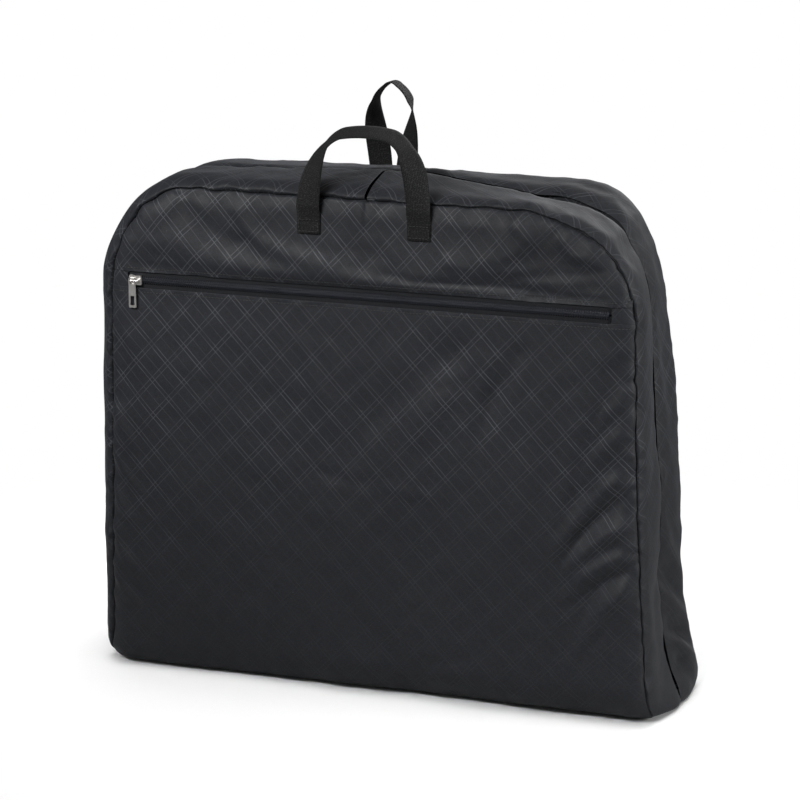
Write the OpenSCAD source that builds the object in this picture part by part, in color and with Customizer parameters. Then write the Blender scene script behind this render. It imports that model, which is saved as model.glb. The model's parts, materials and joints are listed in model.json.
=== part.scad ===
// Folding garment bag of thin cloth: two hollow halves joined by a fold along the base,
// an outer pocket with a coil zip, a full-length main zip on the folded-in face,
// a hanger slit in the top gusset and a webbing handle on each half.
// +X is to the right, +Y to the rear, +Z up. The bag stands on its fold at Z = 0.

/* [Bag] */
// Width between the two side seams
bag_w = 570; // [480:5:640]
// Height of the folded bag, from the base to the top seam
bag_h = 540; // [440:5:620]
// Depth of each half, from its inner edge to its outer seam
half_t = 71; // [56:1:90]
// Radius of the two shoulders
shoulder_r = 115; // [70:5:150]
// Extra width on each side at the base, where the sides splay
base_splay = 13; // [0:1:20]
// Thickness of the cloth with its lining
cloth = 1.5; // [0.8:0.1:2.2]
// How far an outer panel stands proud of its seam
panel_crown = 9; // [5:0.5:14]
// Distance from the seam over which an outer panel rises
crown_run = 22; // [14:1:26]
// Outward swell of the side gussets
side_crown = 5; // [2:0.5:9]
// Outward swell of the top gussets
top_crown = 18; // [6:1:24]

/* [Fold] */
// Depth of the rounded base below the fold line
fold_drop = 30; // [20:1:40]
// Gap between the two halves at their inner edges
fold_gap = 2; // [1:0.5:5]
// Depth of the folded-in faces behind the inner edges
inner_recess = 10; // [9:0.5:14]
// Play between the two halves at the fold line
fold_play = 0.3; // [0.2:0.1:0.6]

/* [Pocket] */
// Distance of the pocket zip below the top seam
zip_drop = 102; // [80:1:200]
// Distance of the zip's ends from the side seams
zip_margin = 25; // [25:1:60]
// Distance between the outer pocket wall's seam and the inner pocket wall
pocket_depth = 5; // [2:0.5:12]
// How far the inner pocket wall reaches above the zip
pocket_top = 24; // [18:1:40]

/* [Zips] */
// Height of the slot that shows the zip
zip_slot = 18; // [13:0.5:20]
// Width of the closed coil
coil_w = 7; // [6:0.25:8]
// Thickness of the coil
coil_t = 2.4; // [2:0.1:3]
// Distance from one tooth to the next
tooth_pitch = 2.5; // [2:0.25:4]
// Width of one zip tape
tape_w = 13; // [10:0.5:16]
// Thickness of the zip tapes
tape_t = 0.8; // [0.5:0.1:1.2]
// Gap between the two tapes behind the coil
tape_gap = 2; // [1.8:0.1:3]
// Distance of the main zip's upper end below the top seam
main_zip_drop = 42; // [30:1:80]

/* [Slider and pull] */
// Length of a slider
slider_len = 14; // [12:0.5:16]
// Thickness of a slider's plates
plate_t = 1.2; // [1:0.1:1.5]
// Thickness of the bridge over a slider
bridge_t = 1.4; // [1.2:0.1:1.6]
// Clear length under the bridge
bridge_span = 5.8; // [5:0.2:7]
// Clear height under the bridge
bridge_clear = 2.6; // [2.4:0.1:3]
// Length of a pull tab
pull_len = 32; // [26:1:40]
// Width of a pull tab at its lower end
pull_w = 8.4; // [7.6:0.2:10]
// Thickness of a pull tab
pull_t = 1.2; // [1:0.1:1.3]

/* [Hanger slit] */
// Width of the slit for the hanger hook
slit_w = 5; // [4.5:0.5:12]
// Width of the hem on each side of the slit
hem_w = 9; // [6:1:16]

/* [Handles] */
// Width of the webbing
strap_w = 25; // [20:1:30]
// Thickness of the webbing
strap_t = 1.6; // [1.2:0.1:2.4]
// Length of webbing sewn to a panel at each end
sewn_len = 18; // [14:1:60]
// Distance between the sewn ends of the front handle, centre to centre
front_span = 118; // [90:2:160]
// Rise of the front handle above its sewn ends
front_rise = 87; // [75:1:110]
// Distance between the sewn ends of the rear handle, centre to centre
rear_span = 28; // [27:1:60]
// Rise of the rear handle above its sewn ends
rear_rise = 117; // [90:1:140]
// Width that the rear handle's legs swell towards before its top narrows
rear_swell = 120; // [90:1:140]
// Offset of the rear handle to the left of the middle
rear_shift = 21; // [0:1:40]

/* [Hidden] */

$fn = 32;
cloth_black = "#26272a";
webbing_black = "#1d1e1f";
zip_black = "#17181b";
nickel = "#b9b6b0";

// Depths are measured outward from the fold plane, and the front half lies on the -Y side.
mate_gap = 0.2;
seam_d = fold_gap / 2 + half_t;
face_d = seam_d + panel_crown;
hinge_z = fold_drop;
round_z = bag_h - shoulder_r;
wall_z = hinge_z + fold_play;
zip_z = bag_h - zip_drop;
zip_half = bag_w / 2 - zip_margin;
tape_d = face_d - cloth - mate_gap;
pocket_d = seam_d - pocket_depth;
inner_d = fold_gap / 2 + inner_recess;
main_zip_z = bag_h - main_zip_drop;
thin = 0.02;
big = 2 * (bag_w + bag_h);

// Extra half width at a height below the shoulders.
function splay_at(z) = base_splay * (1 - z / round_z);

// Flat shape of the bag's face in X and Z, brought in from the seam, with square lower corners.
module face_outline(inset = 0, low = 0) {
    r = shoulder_r - inset;
    half = bag_w / 2 - inset;
    wide = half + splay_at(low);
    polygon([[-wide, low], [wide, low], [half, round_z], [-half, round_z]]);
    translate([-half + r, round_z]) square([2 * (half - r), r]);
    for (side = [-1, 1]) translate([side * (half - r), round_z]) circle(r);
}

// A plate parallel to the face, from depth d inward over its thickness.
module face_plate(d, thickness) {
    translate([0, -d + thickness, 0]) rotate([90, 0, 0]) linear_extrude(thickness) children();
}

// Solid swell of an outer panel: slices that come in along a quarter ellipse.
module panel_swell(skin) {
    steps = 4;
    hull() for (k = [0:steps]) {
        turn = 90 * k / steps;
        inset = skin + crown_run * (1 - cos(turn));
        face_plate(seam_d + thin + (panel_crown - skin - thin) * sin(turn), thin)
            face_outline(inset, -fold_drop);
    }
}

module dished_panel() {
    difference() {
        panel_swell(0);
        panel_swell(cloth);
        face_plate(seam_d + 2 * thin, 4 * thin) face_outline(cloth, -fold_drop);
    }
}

// Keeps what lies between two heights and two sides.
module keep(z0, z1, x0 = -bag_w, x1 = bag_w) {
    intersection() {
        children();
        translate([x0, -big / 2, z0]) cube([x1 - x0, big, z1 - z0]);
    }
}

// The rear half is the front half turned over the fold plane.
module to_rear() { mirror([0, 1, 0]) children(); }

module to_right() { mirror([1, 0, 0]) children(); }

// A solid through a row of rings of equal count.
// Each ring runs out along one face and back along the other.
module loft(rings) {
    count = len(rings[0]);
    last = (len(rings) - 1) * count;
    sides = [
        for (i = [0:len(rings) - 2], k = [0:count - 1])
            let (a = i * count + k, b = i * count + (k + 1) % count)
            each [[a, b + count, b], [a, a + count, b + count]]
    ];
    start = [
        for (k = [0:count / 2 - 2])
            each [[k, count - 2 - k, count - 1 - k], [k, k + 1, count - 2 - k]]
    ];
    end = [for (f = start) [last + f[2], last + f[1], last + f[0]]];
    polyhedron([for (ring = rings) each ring], concat(sides, start, end), convexity = 6);
}

// Places along the left half of the seam: up the side, round the shoulder and along the top.
// Each place is [x, z, outward x, outward z, share of the way from side to top].
function seam_walk(x_end, steps_side, steps_round, steps_top) =
    let (cx = -bag_w / 2 + shoulder_r)
    concat(
        [for (k = [0:steps_side - 1]) let (z = wall_z + (round_z - wall_z) * k / steps_side)
            [-bag_w / 2 - splay_at(z), z, -1, 0, 0]],
        [for (k = [0:steps_round - 1]) let (turn = 90 * k / steps_round, c = cos(turn), s = sin(turn))
            [cx - shoulder_r * c, round_z + shoulder_r * s, -c, s, turn / 90]],
        [for (k = [0:steps_top]) [cx + (x_end - cx) * k / steps_top, bag_h, 0, 1, 1]]
    );

// Swell of a gusset at a share of its depth, for a crown at mid depth.
function swell(crown, share) = crown * (1 - pow(2 * share - 1, 2));

function gusset_crown(place) = side_crown + (top_crown - side_crown) * place[4];

// Section of a gusset between two depths under its skin, from a share of the depth to the seam.
function gusset_ring(place, skin, top = 0, first = 0) =
    let (
        steps = 8,
        crown = gusset_crown(place),
        at = function(k, sunk)
            let (share = first + (1 - first) * k / steps, out = swell(crown, share) - sunk)
            [place[0] + place[2] * out, -fold_gap / 2 - half_t * share, place[1] + place[3] * out]
    )
    concat([for (k = [0:steps]) at(k, top)], [for (k = [0:steps]) at(steps - k, skin)]);

module gusset_strip(x_end) {
    loft([for (p = seam_walk(x_end, 4, 9, 3)) gusset_ring(p, cloth)]);
}

// Second layer along the slit, from clear of the folded-in face to the seam.
module gusset_hem(x_end) {
    first = (inner_d + cloth + mate_gap - fold_gap / 2) / half_t;
    ends = [[x_end - hem_w, bag_h, 0, 1, 1], [x_end, bag_h, 0, 1, 1]];
    loft([for (p = ends) gusset_ring(p, 2 * cloth, cloth / 2, first)]);
}

module front_gusset_left() {
    color(cloth_black) {
        gusset_strip(-slit_w / 2);
        gusset_hem(-slit_w / 2);
    }
}

module rear_gusset_left() { color(cloth_black) to_rear() gusset_strip(-mate_gap / 2); }

module yoke_panel() { color(cloth_black) keep(zip_z + zip_slot / 2, big) dished_panel(); }

module pocket_panel() { color(cloth_black) keep(wall_z, zip_z - zip_slot / 2) dished_panel(); }

// Cloth that closes the zip's slot at its left end.
module pocket_zip_tab_left() {
    color(cloth_black)
        keep(zip_z - zip_slot / 2 + mate_gap, zip_z + zip_slot / 2 - mate_gap, -bag_w, -zip_half)
            dished_panel();
}

module rear_panel() { color(cloth_black) to_rear() keep(wall_z, big) dished_panel(); }

// Flat shape that fits inside the gussets at a depth.
module inner_outline(d) {
    share = (d - fold_gap / 2) / half_t;
    left = [
        for (p = seam_walk(0, 4, 9, 3))
            let (room = swell(gusset_crown(p), share) - cloth - mate_gap)
            [p[0] + p[2] * room, p[1] + p[3] * room]
    ];
    right = [for (k = [len(left) - 1:-1:0]) [-left[k][0], left[k][1]]];
    polygon(concat(left, right));
}

module pocket_inner_wall() {
    color(cloth_black) keep(wall_z, zip_z + pocket_top) face_plate(pocket_d, cloth) inner_outline(pocket_d);
}

// Left half of a folded-in face, cut out for the main zip.
module inner_panel_left() {
    color(cloth_black) difference() {
        keep(wall_z, big, -bag_w, -mate_gap / 2) face_plate(inner_d + cloth, cloth) inner_outline(inner_d);
        translate([-zip_slot / 2, -big / 2, 0]) cube([zip_slot, big, main_zip_z]);
    }
}

module front_inner_panel_left() { inner_panel_left(); }

module rear_inner_panel_left() { to_rear() inner_panel_left(); }

// Rounded base below one half, open towards the half above it and towards the other base.
module fold_block(skin) {
    wide = bag_w / 2 + base_splay + side_crown - skin;
    deep = face_d - skin;
    bend = fold_drop;
    intersection() {
        rotate([90, 0, 90]) linear_extrude(big, center = true) {
            translate([-deep + bend, skin]) square([deep, 2 * bend]);
            translate([-deep, bend + skin]) square([deep, 2 * bend]);
            translate([-deep + bend, bend + skin]) circle(bend);
        }
        rotate([90, 0, 0]) linear_extrude(big, center = true) {
            translate([-wide + bend, skin]) square([2 * (wide - bend), 2 * bend]);
            translate([-wide, bend + skin]) square([2 * wide, 2 * bend]);
            for (side = [-1, 1]) translate([side * (wide - bend), bend + skin]) circle(bend);
        }
        linear_extrude(big, center = true) {
            translate([-wide, -deep + bend]) square([2 * wide, big]);
            translate([-wide + bend, -deep]) square([2 * (wide - bend), big]);
            for (side = [-1, 1]) translate([side * (wide - bend), -deep + bend]) circle(bend);
        }
    }
}

module fold_panel() {
    color(cloth_black) intersection() {
        difference() {
            fold_block(0);
            fold_block(cloth);
        }
        translate([-bag_w, -big, 0]) cube([2 * bag_w, big - fold_play / 2, wall_z]);
    }
}

module front_fold_panel() { fold_panel(); }

module rear_fold_panel() { to_rear() fold_panel(); }

// Zips run along +X from the origin, with the coil on the -Y side of the tapes.
module zip_tape(length) {
    color(zip_black) translate([0, 0, tape_gap / 2]) cube([length, tape_t, tape_w]);
}

tooth_w = 0.42 * tooth_pitch;
tooth_reach = 0.6;
coil_root = tooth_reach + mate_gap;

// One side of the coil: a rail on the tape with teeth that reach over the middle.
module zip_coil(length, start) {
    teeth = floor((length - start - tooth_w) / tooth_pitch);
    color(zip_black) rotate([90, 0, 0]) linear_extrude(coil_t) polygon(concat(
        [[0, coil_w / 2], [0, coil_root]],
        [for (k = [0:teeth]) let (x = start + k * tooth_pitch)
            each [[x, coil_root], [x, -tooth_reach], [x + tooth_w, -tooth_reach], [x + tooth_w, coil_root]]],
        [[length, coil_root], [length, coil_w / 2]]
    ));
}

// Sizes of the slider, which closes towards -X.
channel_gap = 0.3;
slider_top = coil_t + channel_gap;
slider_back = tape_t + channel_gap;
slider_w = coil_w + 2 * channel_gap + 2 * plate_t;
shoulder_w = slider_w + 1.6;
post_len = 3.4;
post_w = tape_gap - 2 * 0.4;
bridge_y = -slider_top - plate_t - bridge_clear - bridge_t / 2;
pull_y = -slider_top - plate_t - bridge_clear / 2;
coil_start = -slider_len / 2 + post_len + 0.8;

// Outline of a slider plate: broad shoulders at the closing end, narrow at the other.
module plate_outline() {
    polygon([
        [-slider_len / 2, -shoulder_w / 2 + 1.6], [-slider_len / 2 + 1.6, -shoulder_w / 2],
        [-slider_len / 2 + 4.6, -shoulder_w / 2], [0, -slider_w / 2],
        [slider_len / 2 - 1, -slider_w / 2], [slider_len / 2, -slider_w / 2 + 1],
        [slider_len / 2, slider_w / 2 - 1], [slider_len / 2 - 1, slider_w / 2],
        [0, slider_w / 2], [-slider_len / 2 + 4.6, shoulder_w / 2],
        [-slider_len / 2 + 1.6, shoulder_w / 2], [-slider_len / 2, shoulder_w / 2 - 1.6],
    ]);
}

module slider() {
    lip = slider_top - channel_gap;
    foot = (bridge_span + bridge_t) / 2;
    color(nickel) {
        rotate([90, 0, 0]) {
            translate([0, 0, slider_top]) linear_extrude(plate_t) plate_outline();
            translate([0, 0, -slider_back - plate_t]) linear_extrude(plate_t) plate_outline();
        }
        translate([-slider_len / 2 + 0.4, -slider_top - plate_t / 2, -post_w / 2])
            cube([post_len, slider_top + slider_back + plate_t, post_w]);
        for (side = [-1, 1]) translate([0, -lip / 2 - slider_top + lip / 2, side * (slider_w - plate_t) / 2])
            translate([0, 0, -plate_t / 2]) cube([slider_len / 2 - 1, lip, plate_t]);
        for (side = [-1, 1]) translate([side * foot - bridge_t / 2, bridge_y, -bridge_t / 2])
            cube([bridge_t, -bridge_y - slider_top - plate_t / 2, bridge_t]);
        translate([-foot, bridge_y, 0]) rotate([0, 90, 0]) cylinder(h = 2 * foot, d = bridge_t);
        for (side = [-1, 1]) translate([side * foot, bridge_y, 0]) sphere(d = bridge_t);
    }
}

// Pull tab that hangs along -Z in its own plane, with the middle of its upper window at the origin.
pull_bar = 1.6;
window_w = 4.4;
window_h = 5.1;
pull_top_w = window_w + 2 * pull_bar;
pull_top = window_h / 2 + pull_bar;

module pull_tab() {
    low = pull_top - pull_len;
    slot_h = 0.31 * pull_len;
    slot_w = pull_w - 2 * pull_bar - 0.6;
    soft = 0.8;
    color(nickel) rotate([90, 0, 0]) linear_extrude(pull_t, center = true) difference() {
        polygon([
            [-pull_top_w / 2 + soft, pull_top], [pull_top_w / 2 - soft, pull_top],
            [pull_top_w / 2, pull_top - soft], [pull_w / 2, low + soft],
            [pull_w / 2 - soft, low], [-pull_w / 2 + soft, low],
            [-pull_w / 2, low + soft], [-pull_top_w / 2, pull_top - soft],
        ]);
        square([window_w, window_h], center = true);
        translate([-slot_w / 2, low + 2 * pull_bar - 0.6]) square([slot_w, slot_h]);
    }
}

// Pocket zip: it lies behind the slot in the outer panel, and its slider closes to the left.
slider_x = -zip_half + slider_len / 2 + 0.6;
coil_x = slider_x + coil_start;

module at_pocket_zip() { translate([-zip_half, -tape_d, zip_z]) children(); }

module pocket_zip_tape_upper() { at_pocket_zip() zip_tape(2 * zip_half); }

module pocket_zip_tape_lower() { at_pocket_zip() mirror([0, 0, 1]) zip_tape(2 * zip_half); }

module pocket_zip_coil_upper() {
    translate([coil_x, -tape_d, zip_z]) zip_coil(zip_half - coil_x - mate_gap, 0.4);
}

module pocket_zip_coil_lower() {
    translate([coil_x, -tape_d, zip_z]) mirror([0, 0, 1])
        zip_coil(zip_half - coil_x - mate_gap, 0.4 + tooth_pitch / 2);
}

module pocket_slider() { translate([slider_x, -tape_d, zip_z]) slider(); }

// The pull hangs beside the slider with its right-hand bar under the bridge.
module pocket_pull() {
    hang = window_h / 2 - bridge_t / 2 - channel_gap;
    translate([slider_x - (window_w + pull_bar) / 2, -tape_d + pull_y, zip_z - hang]) pull_tab();
}

// Main zip: it runs up the folded-in faces, and its slider closes to the top of the front half.
main_slider_z = main_zip_z - slider_len / 2 - 0.6;
main_tape_end = main_zip_z + 8;

// Turns a zip so that it runs up from a height, with its coil towards the fold plane.
module up_inner_face(z) {
    translate([0, -inner_d - cloth, z]) rotate([0, -90, 180]) children();
}

module main_zip_tape_front_right() { up_inner_face(wall_z) zip_tape(main_tape_end - wall_z); }

module main_zip_tape_front_left() { to_right() main_zip_tape_front_right(); }

module main_zip_tape_rear_right() { to_rear() main_zip_tape_front_right(); }

module main_zip_tape_rear_left() { to_rear() main_zip_tape_front_left(); }

module main_zip_coil_front_right() {
    up_inner_face(wall_z) zip_coil(main_slider_z - coil_start - wall_z, 0.4);
}

module main_zip_coil_front_left() {
    to_right() up_inner_face(wall_z) zip_coil(main_slider_z - coil_start - wall_z, 0.4 + tooth_pitch / 2);
}

module main_zip_coil_rear_right() { to_rear() up_inner_face(wall_z) zip_coil(main_zip_z - wall_z, 0.4); }

module main_zip_coil_rear_left() {
    to_rear() to_right() up_inner_face(wall_z) zip_coil(main_zip_z - wall_z, 0.4 + tooth_pitch / 2);
}

module main_slider() { up_inner_face(main_slider_z) mirror([1, 0, 0]) slider(); }

// The main pull hangs down from the bridge by its upper bar.
module main_pull() {
    translate([0, -inner_d - cloth - pull_y, main_slider_z - (window_h + pull_bar) / 2]) pull_tab();
}

// Handles: flat webbing sewn to the outer panels below the shoulders, with a free loop above.
sewn_top = bag_h - crown_run;
sewn_gap = 0.4;
loop_z = sewn_top + sewn_gap;
loop_d = face_d + sewn_gap + strap_t / 2;

module sewn_end(x) {
    color(webbing_black) translate([x - strap_w / 2, -face_d - strap_t, sewn_top - sewn_len])
        cube([strap_w, strap_t, sewn_len]);
}

// Middle line of a loop at a share of its way from the left end to the right end.
// The legs swell from the span at the base towards the width, and a higher peak narrows the top.
function loop_point(share, span, wide, rise, lean, peak) =
    let (
        turn = 180 * share,
        height = pow(sin(turn), 0.8),
        half = (span + (wide - span) * pow(sin(turn), 2)) / 2,
        across = -cos(turn) * half * pow(max(0.265, abs(cos(turn))), peak)
    )
    [across, -loop_d + lean * pow(height, 1.6), loop_z + rise * height];

// Webbing turns edge-on from the legs to the top, and its inner edge becomes the outer one.
function strap_ring(share, span, wide, rise, lean, peak, most_turn) =
    let (
        step = 0.004,
        p = loop_point(share, span, wide, rise, lean, peak),
        q = loop_point(min(1, share + step), span, wide, rise, lean, peak),
        o = loop_point(max(0, share - step), span, wide, rise, lean, peak),
        run = share < step ? [0, 0, 1] : share > 1 - step ? [0, 0, -1] : (q - o) / norm(q - o),
        inward = [run[2], 0, -run[0]] / norm([run[2], 0, -run[0]]),
        bend = most_turn * pow(min(1, 1.25 * sin(180 * share)), 1.5),
        edge0 = inward * cos(bend) + [0, -1, 0] * sin(bend),
        edge1 = edge0 - run * (edge0 * run),
        edge = edge1 / norm(edge1) * strap_w / 2,
        flat = cross(edge, run) / (strap_w / 2) * strap_t / 2
    )
    [p - edge + flat, p + edge + flat, p + edge - flat, p - edge - flat];

module strap_loop(span, wide, rise, lean, peak, most_turn) {
    stations = 40;
    color(webbing_black)
        loft([for (k = [0:stations]) strap_ring(k / stations, span, wide, rise, lean, peak, most_turn)]);
}

module front_handle_end_left() { sewn_end(-front_span / 2); }

module front_handle_end_right() { sewn_end(front_span / 2); }

module front_handle() { strap_loop(front_span, front_span - 8, front_rise, 14, -0.45, 80); }

module rear_handle_end_left() { to_rear() sewn_end(-rear_shift - rear_span / 2); }

module rear_handle_end_right() { to_rear() sewn_end(-rear_shift + rear_span / 2); }

module rear_handle() {
    translate([-rear_shift, 0, 0]) to_rear() strap_loop(rear_span, rear_swell, rear_rise, 4, 0.6, 88);
}

yoke_panel();
pocket_panel();
pocket_inner_wall();
front_gusset_left();
to_right() front_gusset_left();  // front_gusset_right
front_fold_panel();
front_inner_panel_left();
to_right() front_inner_panel_left();  // front_inner_panel_right
pocket_zip_tab_left();
to_right() pocket_zip_tab_left();  // pocket_zip_tab_right
pocket_zip_tape_upper();
pocket_zip_tape_lower();
pocket_zip_coil_upper();
pocket_zip_coil_lower();
pocket_slider();
pocket_pull();
main_zip_tape_front_left();
main_zip_tape_front_right();
main_zip_coil_front_left();
main_zip_coil_front_right();
main_slider();
main_pull();
front_handle_end_left();
front_handle_end_right();
front_handle();
rear_panel();
rear_gusset_left();
to_right() rear_gusset_left();  // rear_gusset_right
rear_fold_panel();
rear_inner_panel_left();
to_right() rear_inner_panel_left();  // rear_inner_panel_right
main_zip_tape_rear_left();
main_zip_tape_rear_right();
main_zip_coil_rear_left();
main_zip_coil_rear_right();
rear_handle_end_left();
rear_handle_end_right();
rear_handle();
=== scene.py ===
import json
import math

import bmesh
import bpy
import numpy as np
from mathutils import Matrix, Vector
from mathutils.bvhtree import BVHTree
from mathutils.geometry import delaunay_2d_cdt

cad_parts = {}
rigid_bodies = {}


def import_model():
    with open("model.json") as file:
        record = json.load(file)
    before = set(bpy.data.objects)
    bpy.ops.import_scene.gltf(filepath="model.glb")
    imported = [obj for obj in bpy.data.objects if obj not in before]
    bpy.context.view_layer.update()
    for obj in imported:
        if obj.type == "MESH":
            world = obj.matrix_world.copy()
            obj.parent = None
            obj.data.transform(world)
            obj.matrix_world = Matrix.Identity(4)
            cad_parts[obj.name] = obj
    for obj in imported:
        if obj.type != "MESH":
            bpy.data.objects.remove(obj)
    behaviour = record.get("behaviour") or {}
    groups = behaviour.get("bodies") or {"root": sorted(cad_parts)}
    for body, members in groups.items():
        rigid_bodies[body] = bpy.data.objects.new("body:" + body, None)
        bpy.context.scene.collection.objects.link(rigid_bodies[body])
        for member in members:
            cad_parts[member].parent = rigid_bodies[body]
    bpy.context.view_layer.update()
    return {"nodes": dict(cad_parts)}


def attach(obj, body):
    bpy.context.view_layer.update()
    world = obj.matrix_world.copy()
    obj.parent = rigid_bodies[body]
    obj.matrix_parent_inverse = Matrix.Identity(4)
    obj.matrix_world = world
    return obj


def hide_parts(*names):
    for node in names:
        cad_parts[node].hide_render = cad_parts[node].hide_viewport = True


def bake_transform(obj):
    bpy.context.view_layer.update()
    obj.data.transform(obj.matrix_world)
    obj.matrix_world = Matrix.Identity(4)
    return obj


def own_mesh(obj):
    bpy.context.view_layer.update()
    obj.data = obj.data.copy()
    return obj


for old in list(bpy.data.objects):
    bpy.data.objects.remove(old)

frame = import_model()
cadNodes = frame["nodes"]
scene = bpy.context.scene
print("frame loaded,", len(cadNodes), "nodes")

bag = {  # sizes in metres, the same as the part's
    "halfWidth": 0.285,
    "splay": 0.013,
    "height": 0.540,
    "shoulder": 0.115,
    "corner": 0.030,
    "rim": 0.001,
    "seam": 0.072,
    "crown": 0.009,
    "crownRun": 0.022,
    "foldZ": 0.0303,
    "zipZ": 0.438,
    "zipSlot": 0.018,
    "zipHalf": 0.260,
    "slit": 0.0032,
    "innerDepth": 0.011,
    "mainZipTop": 0.498,
    "step": 0.0054,
}
roundZ = bag["height"] - bag["shoulder"]
faceDepth = bag["seam"] + bag["crown"]


# node helpers


def feed(node, slot, value):
    # links another node's output to an input, or sets the input's own value
    if isinstance(value, bpy.types.NodeSocket):
        node.id_data.links.new(value, node.inputs[slot])
    else:
        node.inputs[slot].default_value = value


def addNode(tree, kind, inputs=None, **settings):
    # nodes lie in rows of seven, in the order in which they are made
    node = tree.nodes.new(kind)
    row, column = divmod(len(tree.nodes) - 1, 7)
    node.location = (220 * column, -280 * row)
    for key, value in settings.items():
        setattr(node, key, value)
    for slot, value in (inputs or {}).items():
        feed(node, slot, value)
    return node


def mathNode(tree, operation, *values):
    return addNode(tree, "ShaderNodeMath", dict(enumerate(values)), operation=operation).outputs[0]


def smoothStep(tree, value, low, high, outLow=0.0, outHigh=1.0):
    inputs = dict(enumerate((value, low, high, outLow, outHigh)))
    return addNode(tree, "ShaderNodeMapRange", inputs, interpolation_type="SMOOTHSTEP").outputs[0]


def noiseNode(tree, place, scale, detail, roughness=0.5, dimensions="3D"):
    inputs = {"Vector": place, "Scale": scale, "Detail": detail, "Roughness": roughness}
    return addNode(tree, "ShaderNodeTexNoise", inputs, noise_dimensions=dimensions).outputs["Fac"]


def splitMap(tree, vector):
    return addNode(tree, "ShaderNodeSeparateXYZ", {0: vector}).outputs


def mixColors(tree, factor, low, high):
    return addNode(tree, "ShaderNodeMix", {0: factor, 6: low, 7: high}, data_type="RGBA").outputs[2]


def addBump(tree, height, strength, distance, after=None):
    inputs = {"Height": height, "Strength": strength, "Distance": distance}
    if after is not None:
        inputs["Normal"] = after
    return addNode(tree, "ShaderNodeBump", inputs).outputs[0]


# shared node groups


def newGroup(name, inputs, outputs):
    # inputs by name with their values, None for a vector; every output is a number
    group = bpy.data.node_groups.new(name, "ShaderNodeTree")
    for label, value in inputs.items():
        kind = "NodeSocketVector" if value is None else "NodeSocketFloat"
        socket = group.interface.new_socket(label, in_out="INPUT", socket_type=kind)
        if value is not None:
            socket.default_value = value
    for label in outputs:
        group.interface.new_socket(label, in_out="OUTPUT", socket_type="NodeSocketFloat")
    return group, addNode(group, "NodeGroupInput").outputs, addNode(group, "NodeGroupOutput")


def checkGroup():
    # slanting check: a pair of lines each way, with one finer line between the pairs of one way
    group, start, end = newGroup("slantingCheck", {"Map": None, "Width": 0.03, "Height": 0.042}, ["Line"])
    parts = splitMap(group, start["Map"])
    across = mathNode(group, "DIVIDE", parts[0], start["Width"])
    along = mathNode(group, "DIVIDE", parts[1], start["Height"])
    pair, single = 0.42, 0.0  # places of the lines, as shares of the check
    lines = None
    for operation, rows in (
        ("ADD", ((pair, 0.014, 1.0), (single, 0.010, 0.6))),
        ("SUBTRACT", ((pair, 0.014, 0.7),)),
    ):
        mixed = mathNode(group, operation, across, along)
        away = mathNode(group, "ABSOLUTE", mathNode(group, "SUBTRACT", mathNode(group, "FRACT", mixed), 0.5))
        for place, half, strength in rows:
            near = mathNode(group, "ABSOLUTE", mathNode(group, "SUBTRACT", away, place))
            line = smoothStep(group, near, half * 1.4, half * 0.6, 0.0, strength)
            lines = line if lines is None else mathNode(group, "MAXIMUM", lines, line)
    feed(end, "Line", lines)
    return group


def weaveGroup():
    # crossing threads as a height, a slow uneven tone, and thicker threads here and there
    inputs = {"Map": None, "Thread": 0.0006, "Mottle": 40.0}
    group, start, end = newGroup("plainWeave", inputs, ["Height", "Tone", "Slub"])
    parts = splitMap(group, start["Map"])
    short, long = 240.0, 1900.0  # how the noise is drawn out along a thread
    strands = []
    for scale in ((short, long, 1.0), (long, short, 1.0)):
        drawn = addNode(group, "ShaderNodeVectorMath", {0: start["Map"], 1: scale}, operation="MULTIPLY")
        strands.append(noiseNode(group, drawn.outputs[0], 1.0, 1.0, dimensions="2D"))
    feed(end, "Slub", smoothStep(group, mathNode(group, "ADD", *strands), 0.78, 1.22))
    turn = mathNode(group, "DIVIDE", math.pi, start["Thread"])
    waves = [mathNode(group, "SINE", mathNode(group, "MULTIPLY", parts[k], turn)) for k in (0, 1)]
    feed(end, "Height", mathNode(group, "MULTIPLY_ADD", mathNode(group, "MULTIPLY", *waves), 0.5, 0.5))
    feed(end, "Tone", noiseNode(group, start["Map"], start["Mottle"], 4.0, 0.62))
    return group


def ribGroup():
    # lengthwise ribs and slanted picks of webbing or tape, on a map across and along the strip
    inputs = {"Map": None, "Rib": 0.0016, "Pick": 0.0022}
    group, start, end = newGroup("ribbedWeave", inputs, ["Height", "Fleck"])
    parts = splitMap(group, start["Map"])
    column = mathNode(group, "DIVIDE", parts[0], start["Rib"])
    inside = mathNode(group, "FRACT", column)
    bow = mathNode(group, "SINE", mathNode(group, "MULTIPLY", inside, math.pi))
    odd = mathNode(group, "PINGPONG", mathNode(group, "FLOOR", column), 1.0)
    lean = mathNode(group, "SUBTRACT", mathNode(group, "MULTIPLY", odd, 2.0), 1.0)
    slant = mathNode(group, "MULTIPLY", lean, inside)
    row = mathNode(group, "DIVIDE", parts[1], start["Pick"])
    pick = mathNode(group, "FRACT", mathNode(group, "ADD", row, slant))
    hump = mathNode(group, "SINE", mathNode(group, "MULTIPLY", pick, math.pi))
    feed(end, "Height", mathNode(group, "MULTIPLY", bow, hump))
    feed(end, "Fleck", smoothStep(group, noiseNode(group, start["Map"], 620.0, 2.5), 0.48, 0.68))
    return group


def wearGroup():
    # slow uneven rubbing and lint, from the surface's own place
    group, start, end = newGroup("softWear", {"Place": None, "Scale": 9.0}, ["Rub", "Lint"])
    feed(end, "Rub", smoothStep(group, noiseNode(group, start["Place"], start["Scale"], 5.0), 0.35, 0.7))
    feed(end, "Lint", smoothStep(group, noiseNode(group, start["Place"], 420.0, 3.0), 0.66, 0.8))
    return group


sharedNodes = {"check": checkGroup(), "weave": weaveGroup(), "rib": ribGroup(), "wear": wearGroup()}


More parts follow.
